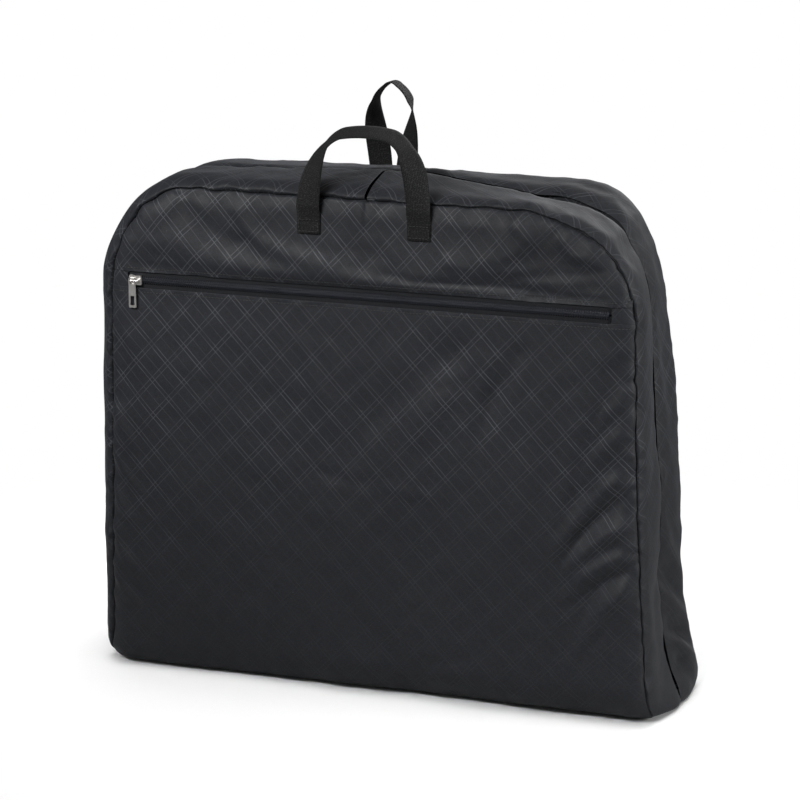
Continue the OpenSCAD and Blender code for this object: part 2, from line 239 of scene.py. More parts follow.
def placeGroup(tree, name, **inputs):
    return addNode(tree, "ShaderNodeGroup", inputs, node_tree=sharedNodes[name]).outputs


# materials

nylon = {
    "ground": (0.0150, 0.0162, 0.0208, 1),
    # the figure's colour: its own lighter tone with painted sheen on top
    "raised": (0.066, 0.070, 0.080, 1),
    "rubbed": (0.0172, 0.0186, 0.0236, 1),
    "shade": (0.0092, 0.0100, 0.0130, 1),
    "lint": (0.22, 0.22, 0.23, 1),
    "linty": 0.12,  # how much of the lint shows
    "figureWidth": 0.036,
    "figureHeight": 0.039,
    "worn": (0.06, 0.34),  # heights between which the figure's painted sheen fades out towards the base, as painted shade low down
    "rough": (0.60, 0.70),
    "satin": 0.16,  # how much smoother the figure is
    "shader": {
        "Sheen Weight": 0.12,
        "Sheen Roughness": 0.35,
        "Sheen Tint": (0.8, 0.82, 0.88, 1),
        "Specular IOR Level": 0.38,
    },
}
webbing = {
    # colour of the weave's hollows: painted shade between the ribs and picks
    "dark": (0.0015, 0.0016, 0.0016, 1),
    "light": (0.0060, 0.0063, 0.0063, 1),
    "fleck": (0.032, 0.033, 0.032, 1),
    "flecked": 0.75,
    "rib": 0.0017,
    "pick": 0.0024,
}
tape = {
    "dark": (0.0055, 0.0060, 0.0080, 1),
    # colour of the weave's hollows: painted shade between the ribs and picks
    "light": (0.0125, 0.0135, 0.0175, 1),
    "fleck": (0.022, 0.024, 0.030, 1),
    "flecked": 0.35,
    "rib": 0.0009,
    "pick": 0.0012,
}
coil = {
    "low": (0.022, 0.024, 0.033, 1),
    "high": (0.036, 0.039, 0.052, 1),
    "scale": 60.0,
    "rough": (0.30, 0.42),
    "shader": {"Specular IOR Level": 0.55},
}
sewing = {
    "low": (0.016, 0.016, 0.017, 1),
    "high": (0.042, 0.042, 0.045, 1),
    "scale": 300.0,
    "rough": (0.45, 0.62),
    "shader": {},
}
nickel = {
    "low": (0.78, 0.76, 0.73, 1),
    "high": (0.90, 0.88, 0.85, 1),
    "scale": 140.0,
    "rough": (0.34, 0.48),
    "grain": (3200.0, 3200.0, 260.0),  # brushed upright
    "shader": {"Metallic": 1.0},
}


def newMaterial(name, inputs):
    material = bpy.data.materials.new(name)
    material.use_nodes = True
    tree = material.node_tree
    tree.nodes.clear()
    shader = addNode(tree, "ShaderNodeBsdfPrincipled", inputs)
    addNode(tree, "ShaderNodeOutputMaterial", {0: shader.outputs[0]})
    return material, tree, shader


def objectPlace(tree):
    return addNode(tree, "ShaderNodeTexCoord").outputs["Object"]


def clothMap(tree):
    return addNode(tree, "ShaderNodeUVMap", uv_map="cloth").outputs[0]


def nylonMaterial(name, figure):
    material, tree, shader = newMaterial(name, nylon["shader"])
    cloth = clothMap(tree)
    weave = placeGroup(tree, "weave", Map=cloth, Thread=0.0007, Mottle=55.0)
    wear = placeGroup(tree, "wear", Place=objectPlace(tree), Scale=7.0)
    color = mixColors(tree, wear["Rub"], nylon["ground"], nylon["rubbed"])
    color = mixColors(tree, weave["Slub"], nylon["shade"], color)
    rough = smoothStep(tree, weave["Tone"], 0.3, 0.7, *nylon["rough"])
    bump = addBump(tree, weave["Height"], 0.18, 0.0003)
    if figure:
        sizes = {"Width": nylon["figureWidth"], "Height": nylon["figureHeight"]}
        line = placeGroup(tree, "check", Map=cloth, **sizes)["Line"]
        # painted shade: the figure's painted sheen fades out towards the base, where less light falls
        upper = smoothStep(tree, splitMap(tree, cloth)[1], *nylon["worn"], 0.2, 1.0)
        rubbed = smoothStep(tree, wear["Rub"], 0.0, 0.8, 0.5, 1.0)
        uneven = smoothStep(tree, weave["Tone"], 0.36, 0.58, 0.45, 1.0)
        shown = mathNode(tree, "MULTIPLY", mathNode(tree, "MULTIPLY", rubbed, upper), uneven)
        figureSheenShown = mathNode(tree, "MULTIPLY", line, shown)
        # the figure's own lighter tone, together with painted sheen
        color = mixColors(tree, figureSheenShown, color, nylon["raised"])
        rough = mathNode(tree, "SUBTRACT", rough, mathNode(tree, "MULTIPLY", figureSheenShown, nylon["satin"]))
        bump = addBump(tree, line, 0.12, 0.0002, bump)
    lint = mathNode(tree, "MULTIPLY", wear["Lint"], nylon["linty"])
    feed(shader, "Base Color", mixColors(tree, lint, color, nylon["lint"]))
    feed(shader, "Roughness", rough)
    feed(shader, "Normal", bump)
    return material


def webbingMaterial(name, strip):
    inputs = {"Sheen Weight": 0.04, "Sheen Roughness": 0.5, "Specular IOR Level": 0.28}
    material, tree, shader = newMaterial(name, inputs)
    weave = placeGroup(tree, "rib", Map=clothMap(tree), Rib=strip["rib"], Pick=strip["pick"])
    # darker in the weave's hollows: painted shade between the ribs and picks
    color = mixColors(tree, weave["Height"], strip["dark"], strip["light"])
    flecks = mathNode(tree, "MULTIPLY", weave["Fleck"], strip["flecked"])
    feed(shader, "Base Color", mixColors(tree, flecks, color, strip["fleck"]))
    feed(shader, "Roughness", smoothStep(tree, weave["Height"], 0.0, 1.0, 0.8, 0.58))
    feed(shader, "Normal", addBump(tree, weave["Height"], 0.6, 0.0005))
    return material


def rubbedMaterial(name, finish):
    # two tones and two roughnesses, by wear or by brushed grain
    material, tree, shader = newMaterial(name, finish["shader"])
    place = objectPlace(tree)
    rub = placeGroup(tree, "wear", Place=place, Scale=finish["scale"])["Rub"]
    feed(shader, "Base Color", mixColors(tree, rub, finish["low"], finish["high"]))
    rough = (rub, 0.0, 1.0)
    if "grain" in finish:
        drawn = addNode(tree, "ShaderNodeMapping", {"Vector": place, "Scale": finish["grain"]})
        grain = noiseNode(tree, drawn.outputs[0], 1.0, 2.0)
        feed(shader, "Normal", addBump(tree, grain, 0.12, 0.00008))
        rough = (grain, 0.3, 0.7)
    feed(shader, "Roughness", smoothStep(tree, *rough, *finish["rough"]))
    return material


finishes = {
    "figured": nylonMaterial("figuredNylon", True),
    "plain": nylonMaterial("plainNylon", False),
    "webbing": webbingMaterial("blackWebbing", webbing),
    "tape": webbingMaterial("zipTapeWeave", tape),
    "coil": rubbedMaterial("zipCoilNylon", coil),
    "nickel": rubbedMaterial("satinNickel", nickel),
    "thread": rubbedMaterial("sewingThread", sewing),
}
print("materials made:", len(finishes))


# mesh helpers


def meshObject(name, points, faces, material, uvs=None, smooth=True):
    mesh = bpy.data.meshes.new(name)
    mesh.from_pydata([tuple(p) for p in points], [], [tuple(f) for f in faces])
    if uvs is not None:
        layer = mesh.uv_layers.new(name="cloth")
        corner = np.zeros(len(mesh.loops), np.int32)
        mesh.loops.foreach_get("vertex_index", corner)
        layer.data.foreach_set("uv", np.asarray(uvs, np.float32)[corner].ravel())
    mesh.polygons.foreach_set("use_smooth", [smooth] * len(mesh.polygons))
    mesh.materials.append(material)
    obj = bpy.data.objects.new(name, mesh)
    scene.collection.objects.link(obj)
    return obj


def meshPoints(mesh):
    points = np.zeros(len(mesh.vertices) * 3)
    mesh.vertices.foreach_get("co", points)
    return points.reshape(-1, 3)


def evaluatedMesh(obj):
    graph = bpy.context.evaluated_depsgraph_get()
    return bpy.data.meshes.new_from_object(obj.evaluated_get(graph))


def waveField(seed, count, longest, shortest):
    # a smooth random field of plane waves, the same on each run
    dice = np.random.default_rng(seed)
    angle = dice.uniform(0, 2 * math.pi, count)
    length = np.exp(dice.uniform(math.log(shortest), math.log(longest), count))
    phase = dice.uniform(0, 2 * math.pi, count)
    kx, ky = np.cos(angle) * 2 * math.pi / length, np.sin(angle) * 2 * math.pi / length
    weight = np.sqrt(length / longest)

    def field(u, v):
        total = np.zeros_like(u)
        for i in range(count):
            total += weight[i] * np.sin(kx[i] * u + ky[i] * v + phase[i])
        return total / math.sqrt((weight**2).sum() / 2) / 2

    return field


# the bag's outline


def insideDistance(x, z):
    # distance in from the side and top seams
    ax = np.abs(x)
    half = bag["halfWidth"] + bag["splay"] * np.maximum(0, 1 - z / roundZ)
    flat = np.minimum(bag["height"] - z, half - ax)
    cx = bag["halfWidth"] - bag["shoulder"]
    curved = bag["shoulder"] - np.hypot(np.maximum(ax - cx, 0), np.maximum(z - roundZ, 0))
    return np.where((ax > cx) & (z > roundZ), curved, flat)


def seamPlace(x, z):
    # way along the seam from the base, outward direction, and share of the turn from side to top
    ax, side = np.abs(x), np.where(x < 0, -1.0, 1.0)
    cx = bag["halfWidth"] - bag["shoulder"]
    turn = np.arctan2(np.maximum(z - roundZ, 0), np.maximum(ax - cx, 1e-9))
    onTop = ax <= cx
    onSide = z <= roundZ
    turn = np.where(onSide, 0.0, np.where(onTop, math.pi / 2, turn))
    onTop = onTop & ~onSide
    way = np.minimum(z, roundZ) + bag["shoulder"] * turn + np.where(onTop, cx - ax, 0.0)
    return way, side * np.cos(turn), np.sin(turn), turn / (math.pi / 2)


def evenly(low, high, step, marks=()):
    # even places from low to high that also stop at each mark
    stops = [low] + sorted(m for m in marks if low < m < high) + [high]
    places = []
    for a, b in zip(stops, stops[1:]):
        count = max(1, round((b - a) / step))
        places += [a + (b - a) * k / count for k in range(count)]
    return places + [high]


def sideX(z):
    # half width of the outline at a height
    if z > roundZ:
        return bag["halfWidth"] - bag["shoulder"] + math.sqrt(bag["shoulder"] ** 2 - (z - roundZ) ** 2)
    return bag["halfWidth"] + bag["splay"] * (1 - z / roundZ)


def outlineSide(r, levels):
    # right-hand side of the outline, from the middle of the base to the middle of the top
    step = bag["step"]
    base = bag["halfWidth"] + bag["splay"]
    cx = bag["halfWidth"] - bag["shoulder"]
    right = [(x, 0.0) for x in evenly(0.0, base - r, step)]
    corner = evenly(0.0, math.pi / 2, step / r)[1:]
    right += [(base - r + r * math.sin(a), r - r * math.cos(a)) for a in corner]
    right += [(sideX(z), z) for z in evenly(r, roundZ, step, levels)[1:]]
    turns = [math.asin((z - roundZ) / bag["shoulder"]) for z in levels if z > roundZ]
    for a in evenly(0.0, math.pi / 2, step / bag["shoulder"], turns)[1:]:
        right.append((cx + bag["shoulder"] * math.cos(a), roundZ + bag["shoulder"] * math.sin(a)))
    return right + [(x, bag["height"]) for x in evenly(0.0, cx, step, [bag["slit"] / 2])[-2::-1]]


def outlineLoop(corners, levels):
    # closed outline with rounded lower corners, left and right
    left = [(-x, z) for x, z in reversed(outlineSide(corners[0], levels)[1:-1])]
    return outlineSide(corners[1], levels) + left


# the two cloth halves

rimLine = {  # how far the halves' meeting edges stand out from the pattern, along the top and up each side
    "topX": [-0.285, -0.214, -0.168, -0.090, 0.044, 0.085, 0.136, 0.162, 0.214, 0.247, 0.262, 0.285],
    "top": [0.010, 0.009, 0.007, 0.0115, 0.015, 0.0086, 0.0022, -0.003, -0.0019, 0.002, -0.004, -0.004],
    "rightZ": [0.0, 0.087, 0.126, 0.144, 0.179, 0.212, 0.246, 0.279, 0.312, 0.425],
    "right": [0.0, 0.0013, 0.0, -0.0030, 0.0024, 0.0046, 0.0056, 0.0015, 0.0, -0.0040],
    "leftZ": [0.0, 0.1, 0.3, 0.36, 0.425],
    "left": [0.0, 0.0060, 0.0150, 0.0140, 0.0100],
}
frontCloth = {
    "corners": (0.024, 0.010),  # lower corners, left and right
    "swell": (0.0135, 0.0040, 0.0080, 0.0050),  # gusset's rise: left, right, top left, top right
    "seamLeft": ([0, 0.3, 0.6, 0.75, 0.89, 1], [0, 0.0010, 0.0050, 0.0063, 0.0024, 0]),  # seam's place round
    "seamRight": ([0, 0.49, 0.655, 0.86, 1], [0, -0.0014, -0.0039, -0.0060, -0.0010]),  # each shoulder
    "gape": ((0.187, 0.026, 0.009), (0.236, 0.013, 0.006)),  # where the meeting edges stand apart
    "sway": 0.0022,  # slow waves of the filled panel
    "ease": 0.016,  # how much rounder the base's edge is to the right
    "pinch": 0.0022,  # depth of the seam valleys
    "roll": 0.0030,  # how far the gusset rolls over its seam
    "gather": -0.06,  # slack along the seams
    "pressure": 0.5,
    "frames": 22,
    "most": 0.0045,  # furthest that the simulation may move a point
    "seed": 11,
    "folds": [  # start x, z, end x, z, height, half width
        (0.284, 0.284, 0.206, 0.187, 0.0052, 0.0085),
        (0.288, 0.262, 0.214, 0.176, -0.0034, 0.0070),
        (0.287, 0.229, 0.212, 0.162, 0.0058, 0.0090),
        (0.290, 0.196, 0.216, 0.144, 0.0050, 0.0080),
        (0.291, 0.178, 0.226, 0.132, -0.0034, 0.0065),
        (0.292, 0.160, 0.232, 0.100, 0.0046, 0.0090),
        (0.288, 0.325, 0.240, 0.278, 0.0030, 0.0080),
        (0.287, 0.357, 0.246, 0.320, 0.0026, 0.0070),
        (0.135, 0.414, -0.030, 0.268, -0.0034, 0.0240),
        (0.165, 0.414, 0.020, 0.270, 0.0022, 0.0200),
        (0.181, 0.418, 0.120, 0.290, -0.0030, 0.0120),
        (0.188, 0.467, 0.154, 0.426, 0.0028, 0.0090),
        (-0.060, 0.252, 0.022, 0.245, -0.0016, 0.0070),
        (0.012, 0.247, 0.092, 0.231, 0.0016, 0.0080),
        (-0.074, 0.532, -0.030, 0.492, -0.0022, 0.0070),
        (-0.142, 0.530, -0.098, 0.480, 0.0026, 0.0080),
        (-0.123, 0.494, -0.156, 0.455, -0.0024, 0.0080),
        (0.071, 0.505, 0.116, 0.472, 0.0026, 0.0080),
        (0.154, 0.536, 0.190, 0.504, 0.0032, 0.0080),
        (0.205, 0.524, 0.240, 0.488, 0.0034, 0.0070),
        (-0.289, 0.259, -0.250, 0.205, 0.0028, 0.0055),
        (-0.290, 0.214, -0.254, 0.166, 0.0030, 0.0055),
        (-0.291, 0.168, -0.258, 0.112, 0.0030, 0.0060),
        (-0.291, 0.118, -0.252, 0.070, 0.0028, 0.0065),
        (-0.288, 0.310, -0.256, 0.262, 0.0022, 0.0055),
        (-0.069, 0.400, -0.034, 0.320, 0.0016, 0.0090),
        (-0.170, 0.050, -0.160, 0.150, 0.0016, 0.0050),
        (-0.120, 0.040, -0.112, 0.125, 0.0014, 0.0050),
        (0.030, 0.060, 0.160, 0.040, 0.0026, 0.0120),
    ],
}
rearCloth = {
    "corners": (0.024, 0.008),
    "swell": (0.0060, 0.0040, 0.0060, 0.0075),
    "seamLeft": ([0, 0.5, 1], [0, 0.0030, 0.0050]),
    "seamRight": ([0, 0.27, 0.49, 0.656, 0.747, 0.92, 1], [0, -0.003, 0.002, 0.008, 0.008, 0.003, 0.003]),
    "gape": ((0.187, 0.026, 0.006), (0.236, 0.013, 0.004)),
    "sway": 0.0030,
    "ease": 0.0,
    "pinch": 0.0022,
    "roll": 0.0024,
    "gather": -0.06,
    "pressure": 0.5,
    "frames": 22,
    "most": 0.0045,
    "seed": 23,
    "folds": [
        (0.285, 0.330, 0.190, 0.260, 0.0044, 0.011),
        (0.290, 0.180, 0.200, 0.120, 0.0046, 0.012),
        (-0.287, 0.250, -0.190, 0.175, 0.0042, 0.012),
        (-0.283, 0.400, -0.200, 0.430, -0.0030, 0.012),
        (-0.080, 0.480, -0.150, 0.440, 0.0026, 0.012),
        (0.060, 0.480, 0.130, 0.450, 0.0026, 0.012),
        (-0.100, 0.070, 0.060, 0.050, 0.0024, 0.014),
        (0.090, 0.300, 0.100, 0.200, -0.0018, 0.024),
    ],
}
frontSlump = {  # how far the front half's right side spreads, by height, at its seam and at its rim
    "heights": [0.0, 0.03, 0.06, 0.10, 0.15, 0.20, 0.30],
    "seam": [0.010, 0.009, 0.008, 0.006, 0.004, 0.002, 0.0],
    "rim": [0.021, 0.010, 0.001, 0.0, 0.0, 0.0, 0.0],
}
rearSlump = {  # how far the rear half's right side hangs out, by height, and its crumpled folds low down
    "heights": [0, 0.02, 0.041, 0.064, 0.10, 0.138, 0.18, 0.25, 0.293, 0.346, 0.375, 0.423, 0.46, 0.50],
    "out": [
        0.032, 0.033, 0.026, 0.022, 0.0165, 0.0115, 0.011, 0.009, 0.0075, 0.006, 0.004, -0.003, -0.003, 0
    ],
    "spread": ([0.0, 0.04, 0.12], [0.9, 0.6, 0.1]),  # share of that at the meeting edge, by height
    "most": 0.3305,  # furthest place to the right
    "crumples": [  # start depth, height, end depth, height, rise, half width
        (-0.010, 0.215, 0.066, 0.120, 0.0050, 0.010),
        (-0.005, 0.165, 0.070, 0.088, -0.0045, 0.008),
        (0.000, 0.140, 0.070, 0.066, 0.0065, 0.009),
        (0.002, 0.100, 0.070, 0.046, -0.0090, 0.007),
        (0.008, 0.082, 0.072, 0.024, 0.0090, 0.008),
        (0.012, 0.050, 0.070, 0.006, -0.0070, 0.007),
        (0.030, 0.040, 0.072, 0.012, 0.0050, 0.006),
    ],
}
rimCut = 0.002  # depth at which the two halves' edges stop
seamRings = (0.0012, 0.0030, 0.0058)  # rows of finer mesh beside a seam
gathers = {  # pitch, height, and shortest and longest reach of the small gathers
    "panelFine": (0.010, 0.0012, 0.006, 0.020),
    "panelBroad": (0.030, 0.0014, 0.02, 0.05),
    "base": (0.030, 0.0014, 0.02, 0.06),
    "zip": (0.016, 0.0006, 0.006, 0.02),
    "stripFine": (0.010, 0.0012, 0.006, 0.016),
    "stripBroad": (0.045, 0.0012, 0.02, 0.05),
    "rim": (0.014, 0.0010, 0.008, 0.018),
}
groove = {  # of the seams, beside the gusset that rolls over them
    "sink": 0.0028,
    "sinkHalf": 0.0010,
    "stray": 0.0008,
    "tuck": 0.0012,
    "rollAt": 0.0042,
    "rollHalf": 0.0032,
}
settling = {  # how the cloth behaves while it settles
    "quality": 5,
    "mass": 0.15,
    "tension_stiffness": 28,
    "compression_stiffness": 28,
    "shear_stiffness": 12,
    "bending_stiffness": 0.3,
    "tension_damping": 12,
    "compression_damping": 12,
    "shear_damping": 12,
    "bending_damping": 0.6,
    "air_damping": 3,
    "vertex_group_mass": "held",
    "pin_stiffness": 1.0,
    "vertex_group_shrink": "slack",
    "shrink_min": 0.0,
    "use_pressure": True,
}


def eased(share):
    return share * share * (3 - 2 * share)


def bell(away, half):
    return np.exp(-((away / half) ** 2))


def alongLine(u, v, u0, v0, u1, v1):
    # share of the way along a line, and distance to its side
    du, dv = u1 - u0, v1 - v0
    length = math.hypot(du, dv)
    return ((u - u0) * du + (v - v0) * dv) / length**2, ((u - u0) * dv - (v - v0) * du) / length


def quietPlaces(x, z, isFront):
    # 0 where the cloth is held flat by the zip or the sewn handle ends, 1 away from them
    calm = np.ones_like(x)
    ends = (-0.059, 0.059) if isFront else (-0.035, -0.007)
    for place in ends:
        away = np.hypot(np.maximum(np.abs(x - place) - 0.014, 0), np.maximum(np.abs(z - 0.509) - 0.012, 0))
        calm = np.minimum(calm, np.clip(away / 0.03, 0, 1))
    if isFront:
        away = np.maximum(np.abs(z - bag["zipZ"]) - 0.012, 0)
        calm = np.minimum(calm, np.clip(away / 0.04, 0, 1))
    return eased(calm)


def shapedHalf(flat, cloth, isFront):
    # moves the straight block's points to the filled form; y counts outward from the fold plane
    x, w, z = flat[:, 0].copy(), flat[:, 1].copy(), flat[:, 2].copy()
    inner = np.maximum(insideDistance(x, z), 0)
    way, nx, nz, share = seamPlace(x, z)
    onFace = w > bag["seam"] - 0.0005
    depth = np.clip((w - bag["rim"]) / (bag["seam"] - bag["rim"]), 0, 1)
    left, right, topLeft, topRight = cloth["swell"]
    across = eased(np.clip(x / 0.24 + 0.5, 0, 1))
    sides = np.where(x < 0, left, right)
    crown = sides + (topLeft + (topRight - topLeft) * across - sides) * share
    leftOut, rightOut = np.interp(share, *cloth["seamLeft"]), np.interp(share, *cloth["seamRight"])
    seamOut = np.where(x < 0, leftOut, rightOut)
    seamOut *= np.exp(-inner / 0.05)
    upLeft = np.interp(z, rimLine["leftZ"], rimLine["left"])
    upRight = np.interp(z, rimLine["rightZ"], rimLine["right"])
    alongTop = np.interp(x, rimLine["topX"], rimLine["top"])
    rimOut = np.where(z > roundZ, alongTop, np.where(x < 0, upLeft, upRight))
    swollen = crown * (1 - np.abs(2 * depth - 1) ** 3.4) + rimOut * (1 - depth)
    out = np.where(onFace, seamOut, swollen + seamOut * depth)
    slow = waveField(cloth["seed"], 14, 0.30, 0.07)
    out += np.where(onFace, 0, 0.0016 * slow(way, w * 2) * np.sin(math.pi * depth))
    calm = quietPlaces(x, z, isFront)
    rise = bag["crown"] * np.sin(math.pi / 2 * np.minimum(inner / bag["crownRun"], 1))
    soft = cloth["sway"] * slow(x, z) * np.minimum(inner / 0.06, 1)
    for *line, height, half in cloth["folds"]:
        t, off = alongLine(x, z, *line)
        bent = off - 0.006 * np.sin(3 * t)  # a slight bend along the fold
        fade = np.clip(t * 5, 0, 1) * np.clip((1.25 - t) * 1.6, 0, 1) * (t > 0)
        soft += height * fade * bell(bent, half) * np.minimum(inner / 0.012, 1)
    w += np.where(onFace, rise + soft * calm, 0)
    x += nx * out
    z += nz * out
    toSeam = np.where(onFace, inner, bag["seam"] - flat[:, 1])
    pull = cloth["pinch"] * bell(toSeam, 0.0055) * np.clip((flat[:, 2] - 0.01) / 0.03, 0, 1)
    x -= nx * pull
    z -= nz * pull
    w -= 0.4 * pull
    for place, half, gape in cloth["gape"]:
        apart = gape * bell(flat[:, 0] - place, half) * (1 - depth) ** 2 * (share > 0.3)
        w += np.where(onFace, 0, apart)
    if isFront:
        x -= 0.002 * np.clip(-flat[:, 0] / 0.28, 0, 1)
        heights, toRight = frontSlump["heights"], np.clip((flat[:, 0] - 0.05) / 0.23, 0, 1) ** 2
        x += np.interp(flat[:, 2], heights, frontSlump["seam"]) * toRight
        x += np.where(onFace, 0, np.interp(flat[:, 2], heights, frontSlump["rim"]) * (1 - depth)) * toRight
    else:
        hang = np.interp(flat[:, 2], rearSlump["heights"], rearSlump["out"])
        hang *= np.clip((flat[:, 0] - 0.10) / 0.18, 0, 1) ** 1.5
        spread = np.interp(flat[:, 2], *rearSlump["spread"])
        full = np.minimum(depth / 0.85, 1)  # no hanging in beside the seam
        x += hang * (spread + (1 - spread) * full)
        for *line, rise, half in rearSlump["crumples"]:
            t, off = alongLine(flat[:, 1], flat[:, 2], *line)
            ends = np.clip(t * 4 + 0.3, 0, 1) * np.clip((1.2 - t) * 4, 0, 1)
            ridge = rise * bell(off - 0.004 * np.sin(4 * t), half) * ends
            x += np.where(onFace | (flat[:, 0] < 0), 0, ridge * np.sin(math.pi * full) ** 0.8)
        x = np.minimum(x, rearSlump["most"])
    reach = np.clip(1 - (flat[:, 1] - rimCut) / 0.03, 0, 1)
    reach *= np.clip((bag["foldZ"] - flat[:, 2]) / 0.02, 0, 1)
    w -= (rimCut - 0.0003) * reach  # the fold's two shares meet in the middle
    corner = bag["corner"] + cloth["ease"] * eased(np.clip((flat[:, 0] + 0.27) / 0.35, 0, 1))
    bend = np.clip(flat[:, 2], 0, corner)
    widest = faceDepth - corner + np.sqrt(corner**2 - (corner - bend) ** 2)
    w *= widest / faceDepth
    return np.stack([x, w, np.maximum(z, 0)], 1)


def faceGrid(cloth, isFront):
    # places and cut lines of the flat face: its outline, rings beside the seam, and even triangles inside
    slot, zipX, step = bag["zipSlot"] / 2, bag["zipHalf"], bag["step"]
    levels = [bag["foldZ"]] + ([bag["zipZ"] - slot, bag["zipZ"] + slot] if isFront else [])
    outline = np.array(outlineLoop(cloth["corners"], levels))
    places = [tuple(p) for p in outline]
    count = len(places)
    edges = [(i, (i + 1) % count) for i in range(count)]
    ahead, behind = np.roll(outline, -1, 0), np.roll(outline, 1, 0)
    along = (ahead - behind) / np.linalg.norm(ahead - behind, axis=1, keepdims=True)
    inward = np.stack([-along[:, 1], along[:, 0]], 1)

    def fromLines(spots):
        away = np.abs(spots[:, 1:2] - np.array(levels)).min(1)
        if isFront:
            elsewhere = np.where(np.abs(spots[:, 1] - bag["zipZ"]) < slot, 0, 1)
            away = np.minimum(away, np.abs(np.abs(spots[:, 0]) - zipX) + elsewhere)
        return away

    def addLine(spots):
        row = []
        for spot in spots:
            near = np.hypot(*(np.array(places) - spot).T)
            if near.min() < 1e-6:
                row.append(int(near.argmin()))
            else:
                places.append(tuple(spot))
                row.append(len(places) - 1)
        edges.extend(zip(row, row[1:]))

    for z in levels:
        end = sideX(z)
        stops = [side * (end - d) for d in seamRings for side in (-1, 1)] + [-zipX, zipX]
        addLine([(x, z) for x in evenly(-end, end, step, stops)])
    if isFront:
        for x in (-zipX, zipX):
            addLine([(x, z) for z in evenly(bag["zipZ"] - slot, bag["zipZ"] + slot, step)])
    for d in seamRings:
        ring = outline + inward * d
        places += [tuple(p) for p in ring[fromLines(ring) > 0.0016]]
    rows = np.arange(step, bag["height"], step * math.sqrt(0.75))
    wide = np.arange(-0.31, 0.31, step)
    spots = np.array([(x + (i % 2) * step / 2, z) for i, z in enumerate(rows) for x in wide])
    inside = np.minimum(insideDistance(spots[:, 0], spots[:, 1]), spots[:, 1])
    for r, side in zip(cloth["corners"], (-1, 1)):
        over = np.maximum(side * spots[:, 0] - (bag["halfWidth"] + bag["splay"] - r), 0)
        rounded = r - np.hypot(over, np.maximum(r - spots[:, 1], 0))
        inside = np.minimum(inside, rounded + np.where(over > 0, 0, 1))
    clear = seamRings[-1] + 0.5 * step
    places += [tuple(p) for p in spots[(inside > clear) & (fromLines(spots) > 0.5 * step)]]
    return places, edges, count


def clothBlock(cloth, isFront):
    # straight block of the half's outline: the flat face in triangles, the strip round it in squares
    places, edges, count = faceGrid(cloth, isFront)
    onlyInside = 1
    made, _, faces, origins, _, _ = delaunay_2d_cdt([Vector(p) for p in places], edges, [], onlyInside, 1e-7)
    known = {k: i for i, sources in enumerate(origins) for k in sources}
    points = [(p.x, bag["seam"], p.y) for p in made]
    faces = [tuple(reversed(f)) for f in faces]
    depths = evenly(rimCut, bag["seam"] - seamRings[-1], bag["step"])[:-1]
    depths += [bag["seam"] - d for d in reversed(seamRings)]
    rows = []
    for w in depths:
        rows.append([len(points) + i for i in range(count)])
        points += [(x, w, z) for x, z in places[:count]]
    rows.append([known[i] for i in range(count)])
    for low, high in zip(rows, rows[1:]):
        faces += [(low[i], high[i], high[(i + 1) % count], low[(i + 1) % count]) for i in range(count)]
    points = np.array(points)
    centers = np.array([points[list(f)].mean(0) for f in faces])
    kept = [f for f, name in zip(faces, regionOf(centers, isFront)) if name]
    used = sorted({i for f in kept for i in f})
    order = {old: new for new, old in enumerate(used)}
    return points[used], [[order[i] for i in f] for f in kept]


def regionOf(center, isFront):
    # name of the cut of cloth at each place of the straight block
    x, w, z = center.T
    names = np.where(x < 0, "gussetLeft", "gussetRight").astype(object)
    face = w > bag["seam"] - 0.001
    if isFront:
        away = z - bag["zipZ"]
        inSlot = np.abs(away) < bag["zipSlot"] / 2
        names[face] = np.where(away > 0, "yoke", "pocket")[face]
        names[face & inSlot] = np.where(x < 0, "tabLeft", "tabRight")[face & inSlot]
        names[face & inSlot & (np.abs(x) < bag["zipHalf"])] = ""
        names[~face & (np.abs(x) < bag["slit"] / 2) & (z > bag["height"] - 0.02)] = ""
    else:
        names[face] = "panel"
    names[z < bag["foldZ"]] = "fold"
    return names


def relaxedCloth(points, faces, held, slack, cloth):
    # gathers the cloth along its seams and lets it settle under a little air
    obj = meshObject("settling", points, faces, finishes["plain"])
    for name, weights in (("held", held), ("slack", slack)):
        group = obj.vertex_groups.new(name=name)
        for index in np.nonzero(weights > 0.001)[0]:
            group.add([int(index)], float(weights[index]), "REPLACE")
    modifier = obj.modifiers.new("cloth", "CLOTH")
    settings = modifier.settings
    for key, value in settling.items():
        setattr(settings, key, value)
    settings.shrink_max = cloth["gather"]
    settings.uniform_pressure_force = cloth["pressure"]
    settings.effector_weights.gravity = 0.15
    modifier.collision_settings.use_collision = False
    modifier.point_cache.frame_start = 1
    modifier.point_cache.frame_end = cloth["frames"]
    for number in range(1, cloth["frames"] + 1):
        scene.frame_set(number)
    moved = meshPoints(evaluatedMesh(obj))
    scene.frame_set(1)
    bpy.data.objects.remove(obj)
    shift = moved - points
    shift[:, 2] *= 1 - 0.7 * np.clip((points[:, 2] - 0.46) / 0.06, 0, 1)  # the top keeps its height
    length = np.maximum(np.linalg.norm(shift, axis=1, keepdims=True), 1e-9)
    most = cloth["most"]
    return points + shift / length * most * np.tanh(length / most)


def refined(points, faces, smooth):
    # one subdivision, with the same order of points for either kind
    obj = meshObject("refining", points, faces, finishes["plain"])
    divide = obj.modifiers.new("divide", "SUBSURF")
    divide.subdivision_type = "CATMULL_CLARK" if smooth else "SIMPLE"
    divide.levels = 1
    divide.boundary_smooth = "PRESERVE_CORNERS"
    mesh = evaluatedMesh(obj)
    bpy.data.objects.remove(obj)
    quads = np.zeros(len(mesh.loops), np.int32)
    mesh.loops.foreach_get("vertex_index", quads)
    finer = meshPoints(mesh)
    bpy.data.meshes.remove(mesh)
    return finer, quads.reshape(-1, 4)


